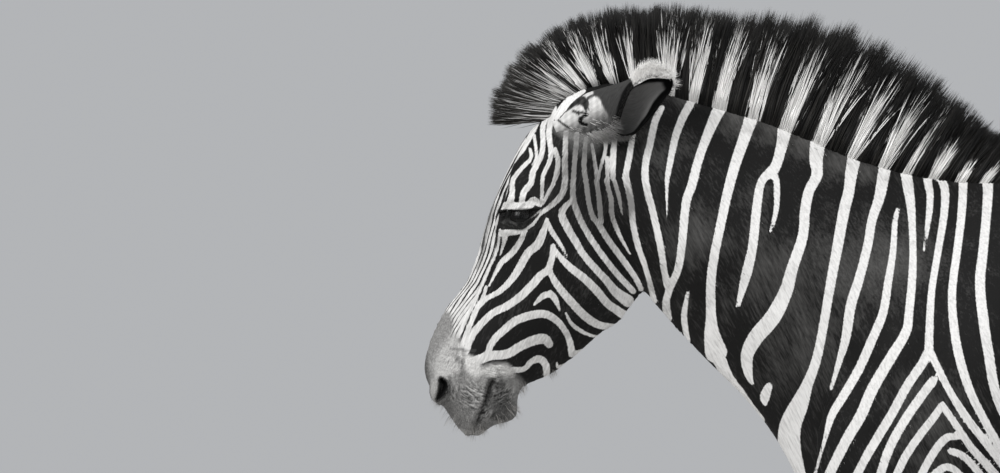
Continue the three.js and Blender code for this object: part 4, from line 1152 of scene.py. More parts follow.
LEGS = [(f"{end}_{side}", table, hoof, sign)
        for end, table, hoof in (("fore", FORELEG, FORE_HOOF), ("hind", HINDLEG, HIND_HOOF))
        for side, sign in SIDES]
SKIN_NODES = ["head", "muzzle", "lower_jaw", "chin", "neck", "chest", "barrel", "rump", "tail_dock",
              *[f"{name}_{part}" for name, *_ in LEGS for part in ("upper", "cannon", "pastern")]]


def crest_ridge():
    """Sections of the blunt ridge that the mane stands on."""
    line = np.array([row[0] for row in MANE], float)
    run = unit(np.gradient(line, axis=0))
    under = np.stack([-run[:, 1], run[:, 0]], 1)
    under = np.where(under[:, 1:] > 0, -under, under)
    return [(tuple(top), tuple(top + down * 40), (RIDGE,)) for top, down in zip(line, under)]


def united_form(cell, grow):
    """The body's lofts and bulges as one closed mesh of small even faces."""
    parts = [loft(TRUNK, 8, 96, 1, grow), loft(HEAD, 8, 96, 1, grow, head_point), loft(DOCK, 8, 32, 1, grow)]
    parts += [loft(stepped(table, STEP[name]), 8, 64, sign, grow) for name, table, _, sign in LEGS]
    parts += [ball((s, sign * y, q), radii) for (s, y, q), radii in BULGES.values() for sign in (-1, 1)]
    parts.append(loft(crest_ridge(), 8, 24, 1, grow))
    points, faces = [], []
    for rings in parts:
        faces += ring_faces(rings.shape[0], rings.shape[1], sum(len(block) for block in points))
        points.append(rings.reshape(-1, 3))
    mesh = face_out(mesh_of("body_form", np.concatenate(points), faces))
    thing = bpy.data.objects.new("body_form", mesh)
    bpy.context.scene.collection.objects.link(thing)
    union = thing.modifiers.new("union", "REMESH")
    union.mode = "VOXEL"
    union.voxel_size = cell
    bpy.context.view_layer.update()
    solid = thing.evaluated_get(bpy.context.evaluated_depsgraph_get())
    united = bpy.data.meshes.new_from_object(solid)
    bpy.data.objects.remove(thing)
    bpy.data.meshes.remove(mesh)
    united.name = "skin"
    return united


def inside(grid, outline):
    """Which grid points lie inside a closed outline."""
    line = np.array(outline, float)
    result = np.zeros(len(grid), bool)
    for (ax, ay), (bx, by) in zip(line, np.roll(line, -1, 0)):
        crosses = (ay > grid[:, 1]) != (by > grid[:, 1])
        step = (grid[:, 1] - ay) / (by - ay if by != ay else 1e-9)
        result ^= crosses & (grid[:, 0] < ax + step * (bx - ax))
    return result


def away_from(grid, line):
    """Distance of each grid point from a line."""
    line = np.array(line, float)
    return np.min([from_segment(grid, a, b)[1] for a, b in zip(line, line[1:])], 0)


def opening_depth(grid, outline):
    """How far inside a closed outline each grid point lies, and negative outside."""
    return away_from(grid, [*outline, outline[0]]) * np.where(inside(grid, outline), 1, -1)


def ridge(distance, width):
    """1 at no distance, falling off smoothly on both sides."""
    return np.exp(-((distance / width) ** 2))


def open_eyes(points):
    """Draws the lids over the eyeballs as a thin dome and opens them along their edges."""
    grid = to_grid(points)
    near = (np.hypot(*(grid - EYE_GRID).T) < 30) & (np.abs(points[:, 1]) > 35)
    spots, across = grid[near], np.abs(points[near, 1])
    r = np.hypot(*(spots - EYE_GRID).T) * GRID
    turn = np.sqrt(LID_RADIUS**2 - LID_TURN**2)
    cap = np.sqrt(np.maximum(LID_RADIUS**2 - r**2, 0))
    dome = EYE["y"] + np.where(r < LID_TURN, cap, turn - (r - LID_TURN) * LID_TURN / turn)
    ball_side = EYE["y"] + np.sqrt(np.maximum((EYE["radius"] - 1.0) ** 2 - r**2, 0))
    lids = across + 2 * np.logaddexp(0, (dome - across) / 2) + 0.9 * ridge(spots[:, 1] - 207, 3) * (r < 26)
    edge = opening_depth(spots, [*OPENING_TOP, *OPENING_BOTTOM[-2:0:-1]])
    rolled = lids + 0.8 * ridge(edge + 1.6, 0.9)
    open_to = np.minimum(np.maximum(ball_side, lids - 6), lids)
    points[near, 1] = np.sign(points[near, 1]) * mix(rolled, open_to, ease(edge, -0.45, 0.35))
    return points


def open_nostrils(points):
    """Sinks the nostrils into both sides, with a rolled rim."""
    grid = to_grid(points)
    near = (np.hypot(grid[:, 0] - 439, grid[:, 1] - 389) < 24) & (np.abs(points[:, 1]) > 12)
    spots, across = grid[near], np.abs(points[near, 1])
    edge = opening_depth(spots, NOSTRIL)
    rim = 2.2 * ridge(edge + 1.8, 2.2)
    deep = ease(edge, -0.6, 3.4) * (12 + 10 * ease(spots[:, 0], 436, 445))
    points[near, 1] = np.sign(points[near, 1]) * (across + rim * ease(edge, 0.6, -0.4) - deep)
    return points


def part_lips(points, normals):
    """Draws the line of the mouth into both sides."""
    away = away_from(to_grid(points), MOUTH)
    groove = 4.2 * ridge(away, 1.6) * (np.abs(points[:, 1]) > 4)
    return points + normals * ((1.6 * ridge(away - 5.5, 3) - groove) * (away < 12))[:, None]


# Ridges (positive) and furrows (negative) of the head and neck: grid points, width and height in millimetres.
FOLDS = {
    "cheek_edge": (((578, 236), (600, 262), (622, 286), (640, 305)), 5, -3.0),
    "cheek_muscle": (((560, 262), (580, 280), (600, 298), (612, 310)), 16, 5.0),
    "crest_line": (((508, 262), (497, 285), (484, 308), (474, 326)), 3.2, 3.2),
    "below_crest": (((520, 272), (508, 292), (494, 314), (484, 334)), 5, -2.4),
    "jaw_line": (((545, 372), (570, 352), (596, 333), (620, 317)), 5, 3.0),
    "above_jaw": (((540, 356), (566, 338), (592, 322)), 6, -2.0),
    "lid_crease": (((502, 208), (509, 203.6), (520, 202.4), (530, 201), (538, 203), (545, 208)), 1.6, -2.2),
    "lid_ridge": (((500, 204), (509, 199), (521, 197.4), (533, 196), (544, 200)), 3, 2.6),
    "lower_crease": (((501, 225), (511, 229), (523, 230.5), (534, 226), (543, 218)), 1.5, -1.6),
    "lower_ridge": (((501, 229.5), (512, 234), (525, 235), (538, 229), (548, 219)), 2.4, 1.6),
    "above_eye": (((545, 190), (553, 182), (566, 178)), 7, -4.0),
    "temple": (((556, 208), (572, 220), (586, 236)), 6, -2.6),
    "nostril_fold": (((452, 372), (451, 384), (446, 395), (440, 405)), 2.4, -1.6),
    "nostril_fold_2": (((458, 366), (458, 380), (454, 394)), 2.2, -1.0),
    "nose_hollow": (((455, 345), (452, 358), (447, 368)), 5, -2.6),
    "lip_fold": (((466, 352), (464, 366), (466, 380), (470, 392)), 2.6, -1.4),
    "mouth_corner_fold": (((499, 372), (502, 384), (503, 394)), 2.6, -1.8),
    "chin_fold": (((512, 388), (509, 400), (503, 410)), 3, -1.6),
    "throat_fold_1": (((648, 296), (657, 286), (664, 268), (668, 244)), 4, -3.4),
    "throat_fold_2": (((662, 318), (672, 302), (679, 280), (684, 250)), 5, -2.4),
    "neck_furrow": (((690, 330), (722, 300), (760, 290), (806, 310), (846, 360)), 16, -6.0),
    "neck_muscle": (((690, 250), (740, 240), (800, 260), (860, 310), (900, 370)), 26, 5.0),
    "shoulder_edge": (((948, 235), (938, 290), (925, 340), (905, 390), (880, 440)), 14, -6.0),
    "shoulder_muscle": (((990, 240), (978, 300), (975, 360), (985, 420)), 24, 5.0),
    "poll_hollow": (((640, 150), (662, 160), (684, 172)), 10, -3.0),
}

# The same for the rest of the body: points X and Z in millimetres, width and height.
MUSCLES = {
    "shoulder_blade": (((-40, 1400), (-110, 1280), (-180, 1150)), 34, 6.0),
    "behind_shoulder": (((60, 1330), (30, 1180), (20, 1040), (40, 940)), 44, -9.0),
    "elbow": (((-20, 1010), (20, 960)), 36, 7.0),
    "ribs_edge": (((330, 1300), (480, 1200), (600, 1060)), 60, 5.0),
    "flank_hollow": (((700, 1280), (720, 1180), (690, 1090)), 48, -12.0),
    "haunch": (((860, 1330), (900, 1200), (880, 1080)), 80, 7.0),
    "thigh_back": (((1080, 1160), (1070, 1040), (1040, 940)), 24, -5.0),
    "stifle": (((770, 940), (800, 890)), 34, 6.0),
    "gaskin": (((930, 860), (990, 760)), 26, -4.0),
}


def folded(points, normals, spots, table):
    """Points moved along their normals by a table of ridges and furrows."""
    height = np.zeros(len(points))
    for line, width, rise in table.values():
        fine = smooth_line(line)
        near = near_line(spots, fine, 3 * width)
        height[near] += rise * ridge(away_from(spots[near], fine), width)
    return points + normals * (height * ease(np.abs(normals[:, 1]), 0.05, 0.4))[:, None]


def on_face(points):
    """Points of the head below the poll."""
    s, _ = in_head(points)
    return (s > -40) & (points[:, 0] < -650)


def by_openings(points):
    """Points round the eyes, the nostrils and the mouth."""
    grid = to_grid(points)
    eye = (np.hypot(*(grid - EYE_GRID).T) < 25) & (np.abs(points[:, 1]) > 35)
    return eye | (np.hypot(grid[:, 0] - 442, grid[:, 1] - 388) < 24) | (away_from(grid, MOUTH) < 9)


def build_skin(cell):
    """The whole skin: one closed form, finer on the head, with lids, nostrils and mouth."""
    mesh = united_form(cell, -2.0)
    x, _, z = points_of(mesh).T
    joints = 0.35 + 0.65 * np.maximum(ridge(x + 720, 130), ridge(z - 800, 330))
    relax(mesh, np.where(z < 560, 0.35, joints), 14)
    relax(mesh, np.where((x > 980) & (z > 940), 0.9, 0.0), 12)
    finer = [(on_face, 0.5, 5), (by_openings, 0.4, 3)]
    for where, weight, rounds in finer:
        refine(mesh, where(points_of(mesh)))
        relax(mesh, weight * where(points_of(mesh)), rounds)
    points, normals = points_of(mesh), normals_of(mesh)
    points = folded(points, normals, to_grid(points), FOLDS)
    points = folded(points, normals, points[:, [0, 2]], MUSCLES)
    points = open_eyes(open_nostrils(part_lips(points, normals)))
    set_points(mesh, points)
    mark(mesh, points, normals_of(mesh))
    return mesh


# ---- Ears, eyes and hooves ----


def mirrored(sign):
    """What turns the left side's places and ways into those of a side."""
    return np.array([1, -sign, 1])


def ear_point(sign, along, share, take=0.0, inside_share=1.0):
    """Points of an ear's wall; share runs from 0 at the near rim over the back to 1 at the lower rim."""
    table = np.array(EAR, float)
    top, low, deep, near = spline(table[:, 1:], np.interp(along, table[:, 0], np.arange(len(table)))).T
    near, top, low, deep, along = (value.reshape(np.shape(along) + (1,) * (np.ndim(share) - np.ndim(along)))
                                   for value in (near, top, low, deep, np.asarray(along, float)))
    turn = (near + (360 + EAR_LOW_RIM - near) * share) * RAD
    below = (top + low) / 2 + ((low - top) / 2 - take) * inside_share * np.cos(turn)
    out = (deep - take) * inside_share * np.sin(turn)
    place = EAR_ROOT + along[..., None] * EAR_ALONG + below[..., None] * EAR_DOWN
    return (place - out[..., None] * np.array([0.0, 1.0, 0.0])) * mirrored(sign), below, turn


def ear_tones(points, along, below, share):
    """Grey of the ear's outside: a white foot with black marks and painted shade towards its lower edge, a
    dark patch, a black rim and a white tip.
    """
    grid = to_grid(points.reshape(-1, 3))
    marks = ease(stroke_depth(grid, EAR_MARKS.values()), -0.7, 0.7).reshape(below.shape)
    mottle = np.sin(along / 3.1 + below / 2.3) * np.sin(below / 4.7 - along / 5.3)
    # The foot greys towards its lower edge: painted shade on the ear's lower part.
    foot = 0.82 - 0.5 * ease(below, 4, 42) + 0.08 * mottle - 0.62 * marks
    patch_from = 64 - 3 * np.cos((below - 8) / 14) + 0.8 * np.sin(below / 1.7) - 10 * ease(-below, 2, 14)
    tone = mix(foot, 0.24, ease(along, patch_from - 2, patch_from + 2))
    tone = mix(tone, 1.0, ease(along, 124, 130) * (1 - ease(share, 0.7, 0.85)))
    band = 0.045 + 0.03 * ease(along, 70, 115)
    near_rim = (1 - ease(share, band, band + 0.025)) * ease(along, 60, 70) * (1 - ease(along, 120, 130))
    return mix(mix(tone, RIM_GREY, near_rim), RIM_GREY, ease(share, 0.9, 0.93) * ease(along, 66, 84))


def cup_tones(run, ring, below_top):
    """Grey of the ear's inside: dark along both rims, over the top and at the tip."""
    tone = 0.55 + 0.04 * np.sin(run / 19 + ring * 9) - 0.12 * ease(-run, -96, -60)
    wider = ease(run, 118, 150)
    near_dark = (1 - ease(ring, 0.03 + 0.04 * wider, 0.07 + 0.05 * wider)) * ease(run, 50, 60)
    low_from = 0.89 - 0.11 * ease(run, 80, 120) - 0.07 * wider
    tone = mix(tone, RIM_GREY, np.maximum(near_dark, ease(ring, low_from, low_from + 0.05)))
    line = 1.5 + 5.5 * ease(run, 132, 162)
    top_dark = (1 - ease(below_top, line - 2, line + 2)) * ease(run, 116, 126)
    return mix(tone, RIM_GREY, np.maximum(top_dark, ease(run, 171, 182)))


def build_ear(sign):
    """A cupped ear with a thin rolled wall, its hair coloured by place."""
    along = np.linspace(EAR[0][0], EAR[-1][0], 112)
    run, ring = np.meshgrid(along, np.linspace(0, 1, 64), indexing="ij")
    outer, below, _ = ear_point(sign, along, ring)
    edge = np.minimum(ring, 1 - ring)
    take = EAR_WALL * (0.25 + 0.75 * ease(edge, 0, 0.035)) * (1 - 0.5 * ease(run, 120, 203))
    inner, cup_below, _ = ear_point(sign, along, ring, take, ease(run, 34, 78))
    rings = np.concatenate([outer, inner[:, ::-1]], 1)
    mesh = face_out(mesh_of("ear", rings.reshape(-1, 3), ring_faces(len(along), rings.shape[1])))
    cup = cup_tones(run, ring, cup_below - below[:, :1])
    store(mesh, "tone", np.concatenate([ear_tones(outer, run, below, ring), cup[:, ::-1]], 1).ravel())
    lie = np.stack([run, ring * 160, 0 * run], -1)
    store(mesh, "grain", np.concatenate([lie, lie[:, ::-1] + 90], 1).reshape(-1, 3))
    return mesh


def build_eye(sign):
    """An eyeball, with how far each point is from the middle of the iris and from the pupil."""
    rows, sides = 72, 96
    centre = head_point(EYE["s"], sign * EYE["y"], EYE["q"])
    polar = np.linspace(0.004, math.pi - 0.004, rows)[:, None]
    turn = np.linspace(0, 2 * math.pi, sides + 1)[None, :-1]
    out = np.sin(polar)
    direction = np.stack([out * np.cos(turn), -np.cos(polar) + 0 * turn, out * np.sin(turn)], -1)
    direction[..., 1] *= -sign
    points = (centre + EYE["radius"] * direction).reshape(-1, 3)
    mesh = face_out(mesh_of("eye", points, ring_faces(rows, sides)))
    away = (points - centre) / EYE["radius"]
    store(mesh, "away", np.hypot(away[:, 0], away[:, 2]))
    store(mesh, "angle", np.hypot(away[:, 0] / PUPIL[0], away[:, 2] / PUPIL[1]))
    store(mesh, "grain", away * EYE["radius"])
    return mesh


def build_hoof(name, table, hoof, sign):
    """A hoof from the coronet to the floor."""
    sides = 72
    front, back, half, middle = stepped(table, STEP[name])[-1]
    front, back = np.array(front, float), np.array(back)
    run = unit(front - back)
    down = np.array([run[1], -run[0]])
    down = CORONET_GAP * (down if down[1] < 0 else -down)
    half = [width + CORONET for width in half]
    top = (front + run * CORONET + down, back - run * CORONET + down, half, middle)
    rings = loft([top, *stepped(hoof, STEP[name])], 16, sides, sign)
    across = rings[..., 1] - sign * middle
    rings[..., 1] = sign * middle + across * (1 + 0.012 * np.sin(rings[..., 2] / 2.4))
    rings[..., 2] = np.maximum(rings[..., 2], 0)
    points = rings.reshape(-1, 3)
    mesh = face_out(mesh_of("hoof", points, ring_faces(rings.shape[0], sides)))
    store(mesh, "grain", points[:, [2, 0, 1]])
    return mesh


# ---- Mane and tail ----

# White bundles of the mane: grid point of the root, half width and how far the white reaches.
BUNDLES = (((570, 92), 4.5, 52), ((583, 86), 3.8, 50), ((596, 82), 4.6, 52), ((614, 81), 4.8, 54),
    ((635, 82), 4, 54), ((668, 92), 6, 66), ((694, 101), 5.5, 72), ((720, 106), 7.2, 74), ((754, 115), 7.8,
    74), ((787, 129), 8, 76), ((819, 145), 7, 80), ((852, 155), 6.2, 77), ((884, 165), 5.8, 74),
    ((909, 172), 5.4, 62), ((934, 176), 6.6, 36), ((963, 178), 5, 22), ((987, 181), 5, 20))

# The mane's pieces: where each begins and ends along the crest, its share of the hairs and its seed.
MANE_PIECES = (("forelock", 0.0, 0.17, 0.18, 11), ("mane_front", 0.17, 0.36, 0.26, 12),
               ("mane_middle", 0.36, 0.6, 0.28, 13), ("mane_rear", 0.6, 1.0, 0.28, 14))
MANE_HALF = 12  # half width of the band that the mane grows from
MANE_DROP = 4.5  # how much lower the band's edges lie than its middle
MANE_SINK = 6  # how deep a hair's root lies
CREST_LENGTH = 1150
CLUMPS = 170  # of hair, along the crest
# Sections of the tail's tuft: height, and its half depth and half width there.
TUFT = ((1010, 17, 17), (919, 17, 18), (860, 28, 30), (790, 38, 40), (710, 40, 42), (640, 32, 34),
    (580, 19, 20), (536, 6, 6))
TUFT_X = 1200
TUFT_ROOTS = (925, 1010)  # heights between which the hairs begin
TUFT_FOOT = 536  # height where the longest hair ends


def crest_grid(u):
    root, _, _ = crest(u)
    return np.stack([GRID_X + root[:, 0] / GRID, (GRID_Z - root[:, 2]) / GRID], 1)


def bundle_white(u, jitter, luck):
    """How white a hair is by its place on the crest, and how far its white reaches in millimetres."""
    fine = np.linspace(0, 1, 400)
    line = crest_grid(fine)
    run = np.concatenate([[0], np.cumsum(np.linalg.norm(np.diff(line, axis=0), axis=1))])
    here = np.interp(u, fine, run) + jitter
    white, reach, side = np.zeros(len(u)), np.full(len(u), 40.0), np.zeros(len(u))
    for root, half, far in BUNDLES:
        middle = run[np.argmin(np.linalg.norm(line - np.array(root), axis=1))]
        off = (here - middle) / half
        in_it = np.abs(off) < 1
        white = np.where(in_it & (luck > 0.03 + 0.4 * off**4), 1, white)
        reach = np.where(in_it, far * GRID * (1 - 0.3 * off**2), reach)
        side = np.where(in_it, off, side)
    return white, reach, side


def build_mane(name, low, high, count, width, seed):
    """One stretch of the standing mane as single hairs, gathered in clumps."""
    rng = np.random.default_rng(seed)
    u = rng.uniform(low, high, count)
    side = rng.uniform(-1, 1, count)
    groups = CLUMPS * 4  # in four lanes side by side
    shake = np.random.default_rng(5)
    lean = shake.normal(0, 3.2, groups)
    short = shake.uniform(0.86, 1.03, groups)
    pull = shake.normal(0, 1, groups)
    lane = np.clip((side + 1) * 2, 0, 3.99).astype(int)
    cell = np.clip((u * CLUMPS).astype(int) + CLUMPS * lane, 0, groups - 1)
    stray = rng.random(count) < 0.05
    root, lie, length = crest(u, 4.0)
    white, far, off = bundle_white(u, rng.normal(0, 0.7, count) + 0.4 * pull[cell], rng.random(count))
    loose = stray + 0.35 * (white > 0.5)
    turn = (lean[cell] + rng.normal(0, 1.4, count) + loose * rng.normal(0, 5, count) - 5 * off) * RAD
    flat = np.zeros(count)
    lie = np.stack([lie[:, 0] * np.cos(turn) - lie[:, 2] * np.sin(turn), flat,
                    lie[:, 0] * np.sin(turn) + lie[:, 2] * np.cos(turn)], 1)
    back = np.stack([lie[:, 2], flat, -lie[:, 0]], 1)
    length = length * short[cell] * rng.uniform(0.95, 1.01, count)
    length = length * np.where(stray, rng.uniform(0.7, 1.02, count), 1.0) * (1 - 0.08 * np.abs(side) ** 1.5)
    t = np.linspace(0, 1, 6)
    bend = 0.07 * length * (1 + 0.35 * rng.normal(0, 1, count))
    y_root = side * MANE_HALF
    y_tip = y_root + 2.6 * pull[cell] + rng.normal(0, 2.2, count)
    start = root - lie * MANE_SINK
    start[:, 2] -= MANE_DROP * side**2
    gather = (((np.floor(u * CLUMPS) + 0.5) / CLUMPS - u) * CREST_LENGTH * 0.5)[:, None]
    wave = rng.normal(0, 1.1 + 1.2 * (white > 0.5), count)[:, None]
    wave = wave * np.sin(t * 5 + rng.uniform(0, 6, count)[:, None]) * t
    paths = (start[:, None] + lie[:, None] * (t[None] * (length + MANE_SINK)[:, None])[..., None]
             + back[:, None] * (bend[:, None] * (t**2 - 0.3 * t) + gather * t**2 + wave)[..., None])
    paths[..., 1] = y_root[:, None] + (y_tip - y_root)[:, None] * t**1.2 + wave * 0.8
    reach = (far * (0.5 + 0.74 * rng.random(count) ** 0.8) + MANE_SINK) / (length + MANE_SINK)
    fan = ease(u, 0.16, 0.1)
    if low < 0.1:
        pale = rng.random(count) < 0.6 * fan
        white = np.where(pale, rng.uniform(0.35, 1.0, count), white * (1 - 0.5 * fan))
        reach = np.where(fan > 0.4, rng.uniform(0.3, 1.0, count), reach)
    shade = 0.14 + 0.5 * fan + 0.25 * rng.normal(0, 1, count) + 0.12 * pull[cell]
    marks = {"white": white, "reach": reach, "shade": np.clip(shade, 0, 1)}
    patch = np.stack([(u - low) / (high - low), (side + 1) / 2], 1)
    broad = unit(np.stack([back[:, 0], rng.normal(0, 0.5, count), back[:, 2]], 1))
    return hair_mesh(name, paths, broad, width * rng.uniform(0.7, 1.3, count), width * 0.6, patch, marks)


def build_tuft(count, width, seed):
    """The long hair at the end of the tail."""
    rng = np.random.default_rng(seed)
    t = np.linspace(0, 1, 8)
    turn = rng.uniform(0, 2 * math.pi, count)
    top = rng.uniform(*TUFT_ROOTS, count)
    foot = TUFT_FOOT + 330 * rng.random(count) ** 2.2
    out = np.sqrt(rng.uniform(0.05, 1, count))
    z = top[:, None] + (foot - top)[:, None] * t[None]
    height, *halves = np.array(TUFT, float).T
    deep, wide = (np.interp(-z, -height, half) for half in halves)
    spread = mix(0.82, out[:, None], ease(t, 0, 0.4)[None])
    sway = rng.normal(0, 2.0, count)[:, None] * np.sin(4 * t + rng.uniform(0, 6, count)[:, None]) * t
    around = turn[:, None] + 0.35 * t[None] * rng.normal(0, 1, count)[:, None]
    x, y = TUFT_X + deep * spread * np.cos(around) + sway, wide * spread * np.sin(around) + sway
    paths = np.stack([x, y, z], -1)
    white = np.where(rng.random(count) < 0.3, 1.0, 0.0)
    marks = {"white": white, "reach": rng.uniform(0.2, 0.75, count), "shade": rng.uniform(0.1, 0.6, count)}
    patch = np.stack([turn / (2 * math.pi), (top - TUFT_ROOTS[0]) / (TUFT_ROOTS[1] - TUFT_ROOTS[0])], 1)
    broad = np.stack([-np.sin(turn), np.cos(turn), 0 * turn], 1)
    widths = width * rng.uniform(0.7, 1.2, count)
    return hair_mesh("tail_tuft", paths, broad, widths, width * 0.5, patch, marks)


# ---- Short hair ----

# What a tuft of the coat takes over from the skin under it.
FUR_MARKS = ("stripe", "tone", "tone_weight", "nose_count", "nose_shows", "nose_white", "dull_and_shade", "sheen")


def lie_of(points, normals):
    """The way that short hair lies: down the face, back along the neck and body, down the legs."""
    x, y, z = points.T
    flat = np.zeros(len(points))
    body = unit(np.stack([0.45 + 0.3 * ease(x, -300, 200), flat, -0.8 - 0.3 * ease(np.abs(y), 60, 220)], 1))
    s, _ = in_head(points)
    to_face = (ease(s, 20, 90) * (x < -680))[:, None]
    to_leg = ease(z, 860, 700)[:, None]
    way = body * (1 - to_face) + HEAD_ALONG * to_face
    way = way * (1 - to_leg) + np.array([0.12, 0, -1]) * to_leg
    return unit(way - normals * np.sum(way * normals, 1, keepdims=True))


def build_fur(name, skin, patch, weight, count, length, width, raised, seed):
    """Short tufts sown over the skin by a weight for each point, coloured as the skin under them is."""
    rng = np.random.default_rng(seed)
    points, normals = points_of(skin), normals_of(skin)
    chosen = rng.choice(len(points), count, p=weight / weight.sum())
    root, out = points[chosen], normals[chosen]
    way = lie_of(root, out)
    broad = np.cross(way, out)
    root = root + (way * rng.normal(0, 1.6, count)[:, None] + broad * rng.normal(0, 1.6, count)[:, None])
    way = unit(way + broad * rng.normal(0, 0.16, count)[:, None])
    size = length[chosen] * rng.uniform(0.7, 1.25, count)
    lift = raised[chosen] * rng.uniform(0.6, 1.4, count)
    t = np.linspace(0, 1, 3)
    rise = lift[:, None] * size[:, None] * (t - 0.45 * t**2)
    paths = straight(root - out * 0.8, way, size, t) + out[:, None] * rise[..., None]
    marks = {key: values_of(skin.attributes[key].data, "value", 1)[chosen, 0] for key in FUR_MARKS}
    mesh = hair_mesh(name, paths, broad, width[chosen], 0.4, patch(points)[chosen], marks)
    lie = values_of(skin.attributes["grain"].data, "vector")[chosen]
    store(mesh, "grain", np.repeat(lie, len(mesh.vertices) // count, 0))
    return mesh


def share_of(values):
    low, high = values.min(), values.max()
    return (values - low) / (high - low)


def turn_share(across, down):
    """A direction round an axis, as a share of a whole turn."""
    return np.arctan2(across, down) / (2 * math.pi) + 0.5


def unwrap_head(points):
    s, q = in_head(points)
    return np.stack([share_of(np.clip(s, 0, 680)), turn_share(points[:, 1], q - 40)], 1)


def unwrap_body(points):
    x, y, z = points.T
    return np.stack([share_of(np.clip(x, -760, 1230)), turn_share(y, z - 1180)], 1)


def unwrap_legs(points):
    x, y, z = points.T
    hind = x > 400
    angle = turn_share(np.abs(y) - 115, x - np.where(hind, 1060, -120))
    return np.stack([share_of(np.clip(z, 60, 860)), (hind * 2 + (y > 0) + angle) / 4], 1)


def build_lashes(count, seed):
    """Lashes along both upper lids, out and down over the eye."""
    rng = np.random.default_rng(seed)
    at = rng.uniform(1.2, 4.2, count * 2)
    line = spline(OPENING_TOP, at)
    sign = np.repeat([-1, 1], count)
    r2 = np.sum(((line - EYE_GRID) * GRID) ** 2, 1)
    y = EYE["y"] + np.sqrt(np.maximum(LID_RADIUS**2 - r2, 40)) + 0.4
    root = np.stack([(line[:, 0] - GRID_X) * GRID, sign * (y - 2), GRID_Z - (line[:, 1] - 0.8) * GRID], 1)
    out = np.stack([-0.32 + 0.1 * (at - 2.7), sign * 0.8, np.full(len(at), -0.3)], 1)
    out = unit(out + rng.normal(0, 0.13, (len(at), 3)))
    t = np.linspace(0, 1, 7)
    size = rng.uniform(15, 25, len(at))
    paths = straight(root, out, size, t)
    paths[..., 2] -= size[:, None] * 0.42 * t**1.8
    marks = {"shade": rng.uniform(0, 0.3, len(at))}
    patch = np.stack([(at - 1) / 4, (sign + 1) / 2 * 0.9], 1)
    broad = np.tile([1.0, 0, 0], (len(at), 1))
    return hair_mesh("lashes", paths, broad, rng.uniform(0.5, 0.8, len(at)), 0.5, patch, marks)


# Long single hairs: grid point, spread, count a side, length, how far they point backwards and up.
WHISKERS = (((455, 418), 10, 26, 18, (-0.3, -0.7)), ((470, 426), 9, 40, 12, (-0.1, -1.0)), ((483, 428), 5,
    40, 10, (0.2, -1.0)), ((500, 418), 7, 60, 11, (0.4, -1.0)), ((512, 408), 8, 34, 15, (0.5, -0.9)),
    ((524, 388), 6, 26, 14, (0.4, -1.0)), ((440, 402), 7, 16, 13, (-0.8, -0.5)), ((556, 378), 8, 20, 11,
    (0.4, -1.0)))


def build_whiskers(skin, seed):
    """Feelers of the lips and the chin."""
    rng = np.random.default_rng(seed)
    points, normals = points_of(skin), normals_of(skin)
    face = np.flatnonzero((points[:, 0] < -700) & (in_head(points)[0] > 150))
    grid = to_grid(points[face])
    roots, ways, sizes = [], [], []
    for centre, spread, count, length, (back, up) in WHISKERS:
        weight = np.exp(-np.sum((grid - np.array(centre)) ** 2, 1) / (2 * (spread / 2) ** 2)) + 1e-12
        pick = face[rng.choice(len(face), count * 2, p=weight / weight.sum())]
        roots.append(pick)
        ways.append(unit(normals[pick] * 0.8 + np.array([back, 0, up]) + rng.normal(0, 0.22, (count * 2, 3))))
        sizes.append(length * rng.uniform(0.5, 1.2, count * 2))
    pick, way, size = np.concatenate(roots), np.concatenate(ways), np.concatenate(sizes)
    t = np.linspace(0, 1, 6)
    paths = straight(points[pick] - normals[pick], way, size, t)
    paths[..., 2] -= size[:, None] * 0.25 * t**2
    broad = unit(np.cross(way, [0.2, 1, 0.1]))
    widths = rng.uniform(0.35, 0.6, len(pick))
    marks = {"shade": rng.uniform(0, 1, len(pick))}
    return hair_mesh("whiskers", paths, broad, widths, 0.4, unwrap_head(points)[pick], marks)


def build_fringe(sign, count, seed):
    """Fuzz along the rim of an ear, longest and white at the tip, grey at its foot."""
    rng = np.random.default_rng(seed)

    def draw(low, high):
        return rng.uniform(low, high, count)

    kind = rng.random(count)
    tip, foot, low_foot = kind < 0.47, kind > 0.6, kind > 0.74
    along = np.where(tip, draw(124, 194), np.where(foot, draw(-25, 50), draw(60, 191)))
    along = np.where(low_foot, draw(8, 84), along)
    low = rng.random(count) < 0.5
    along = np.where(low_foot & ~low, along * 0.85, along)
    share = np.where(low, draw(0.96, 1.0), draw(0, 0.04))
    over = 0.42 + 0.5 * ease(along, 176, 190)
    share = np.where(tip, over * rng.random(count), np.where(foot, draw(0.0, 1.0), share))
    share = np.where(low_foot, np.where(low, draw(0.97, 1.0), draw(0, 0.1)), share)
    place, below, turn = ear_point(sign, along, share, 1.0)
    ahead, _, _ = ear_point(sign, along + 4, share, -1.0)
    flip = mirrored(sign)
    outward = np.cos(turn)[:, None] * EAR_DOWN + np.sin(turn)[:, None] * np.array([0, -1.0, 0])
    outward = unit(outward * flip)
    down = unit(np.array([0.93, -0.2, -0.34]) * flip + 0.2 * outward)
    down = down + rng.normal(0, 0.17, (count, 3)) * np.array([1.2, 1, 0.8])
    up = outward * 0.68 + unit(ahead - place) * 0.8 + rng.normal(0, 0.21, (count, 3))
    way = unit(np.where(foot[:, None], down, up))
    arch = 0.65 + 0.75 * ease(along, 118, 160) * (1 - ease(along, 176, 214))
    size = np.where(foot, draw(10, 24), np.where(tip, arch * draw(7, 19), draw(5, 10)))
    paths = straight(place, way, size, np.linspace(0, 1, 4))
    grey = np.where(low_foot, 0.16 + 0.54 * ease(84 - along, 0, 76), np.where(below > 30, 0.5, 0.8))
    white = np.where(tip, 1.0, np.where(foot, grey * draw(0.5, 1.3), 0.0))
    shade = draw(0, 0.6) * np.where(tip, 0.3, 1)
    marks = {"white": white, "reach": np.full(count, 2.0), "shade": shade}
    patch = np.stack([share_of(along), share], 1)
    return hair_mesh("ear_fringe", paths, unit(np.cross(way, outward)), draw(0.6, 1.1), 0.5, patch, marks)


# ---- Stage, in metres ----

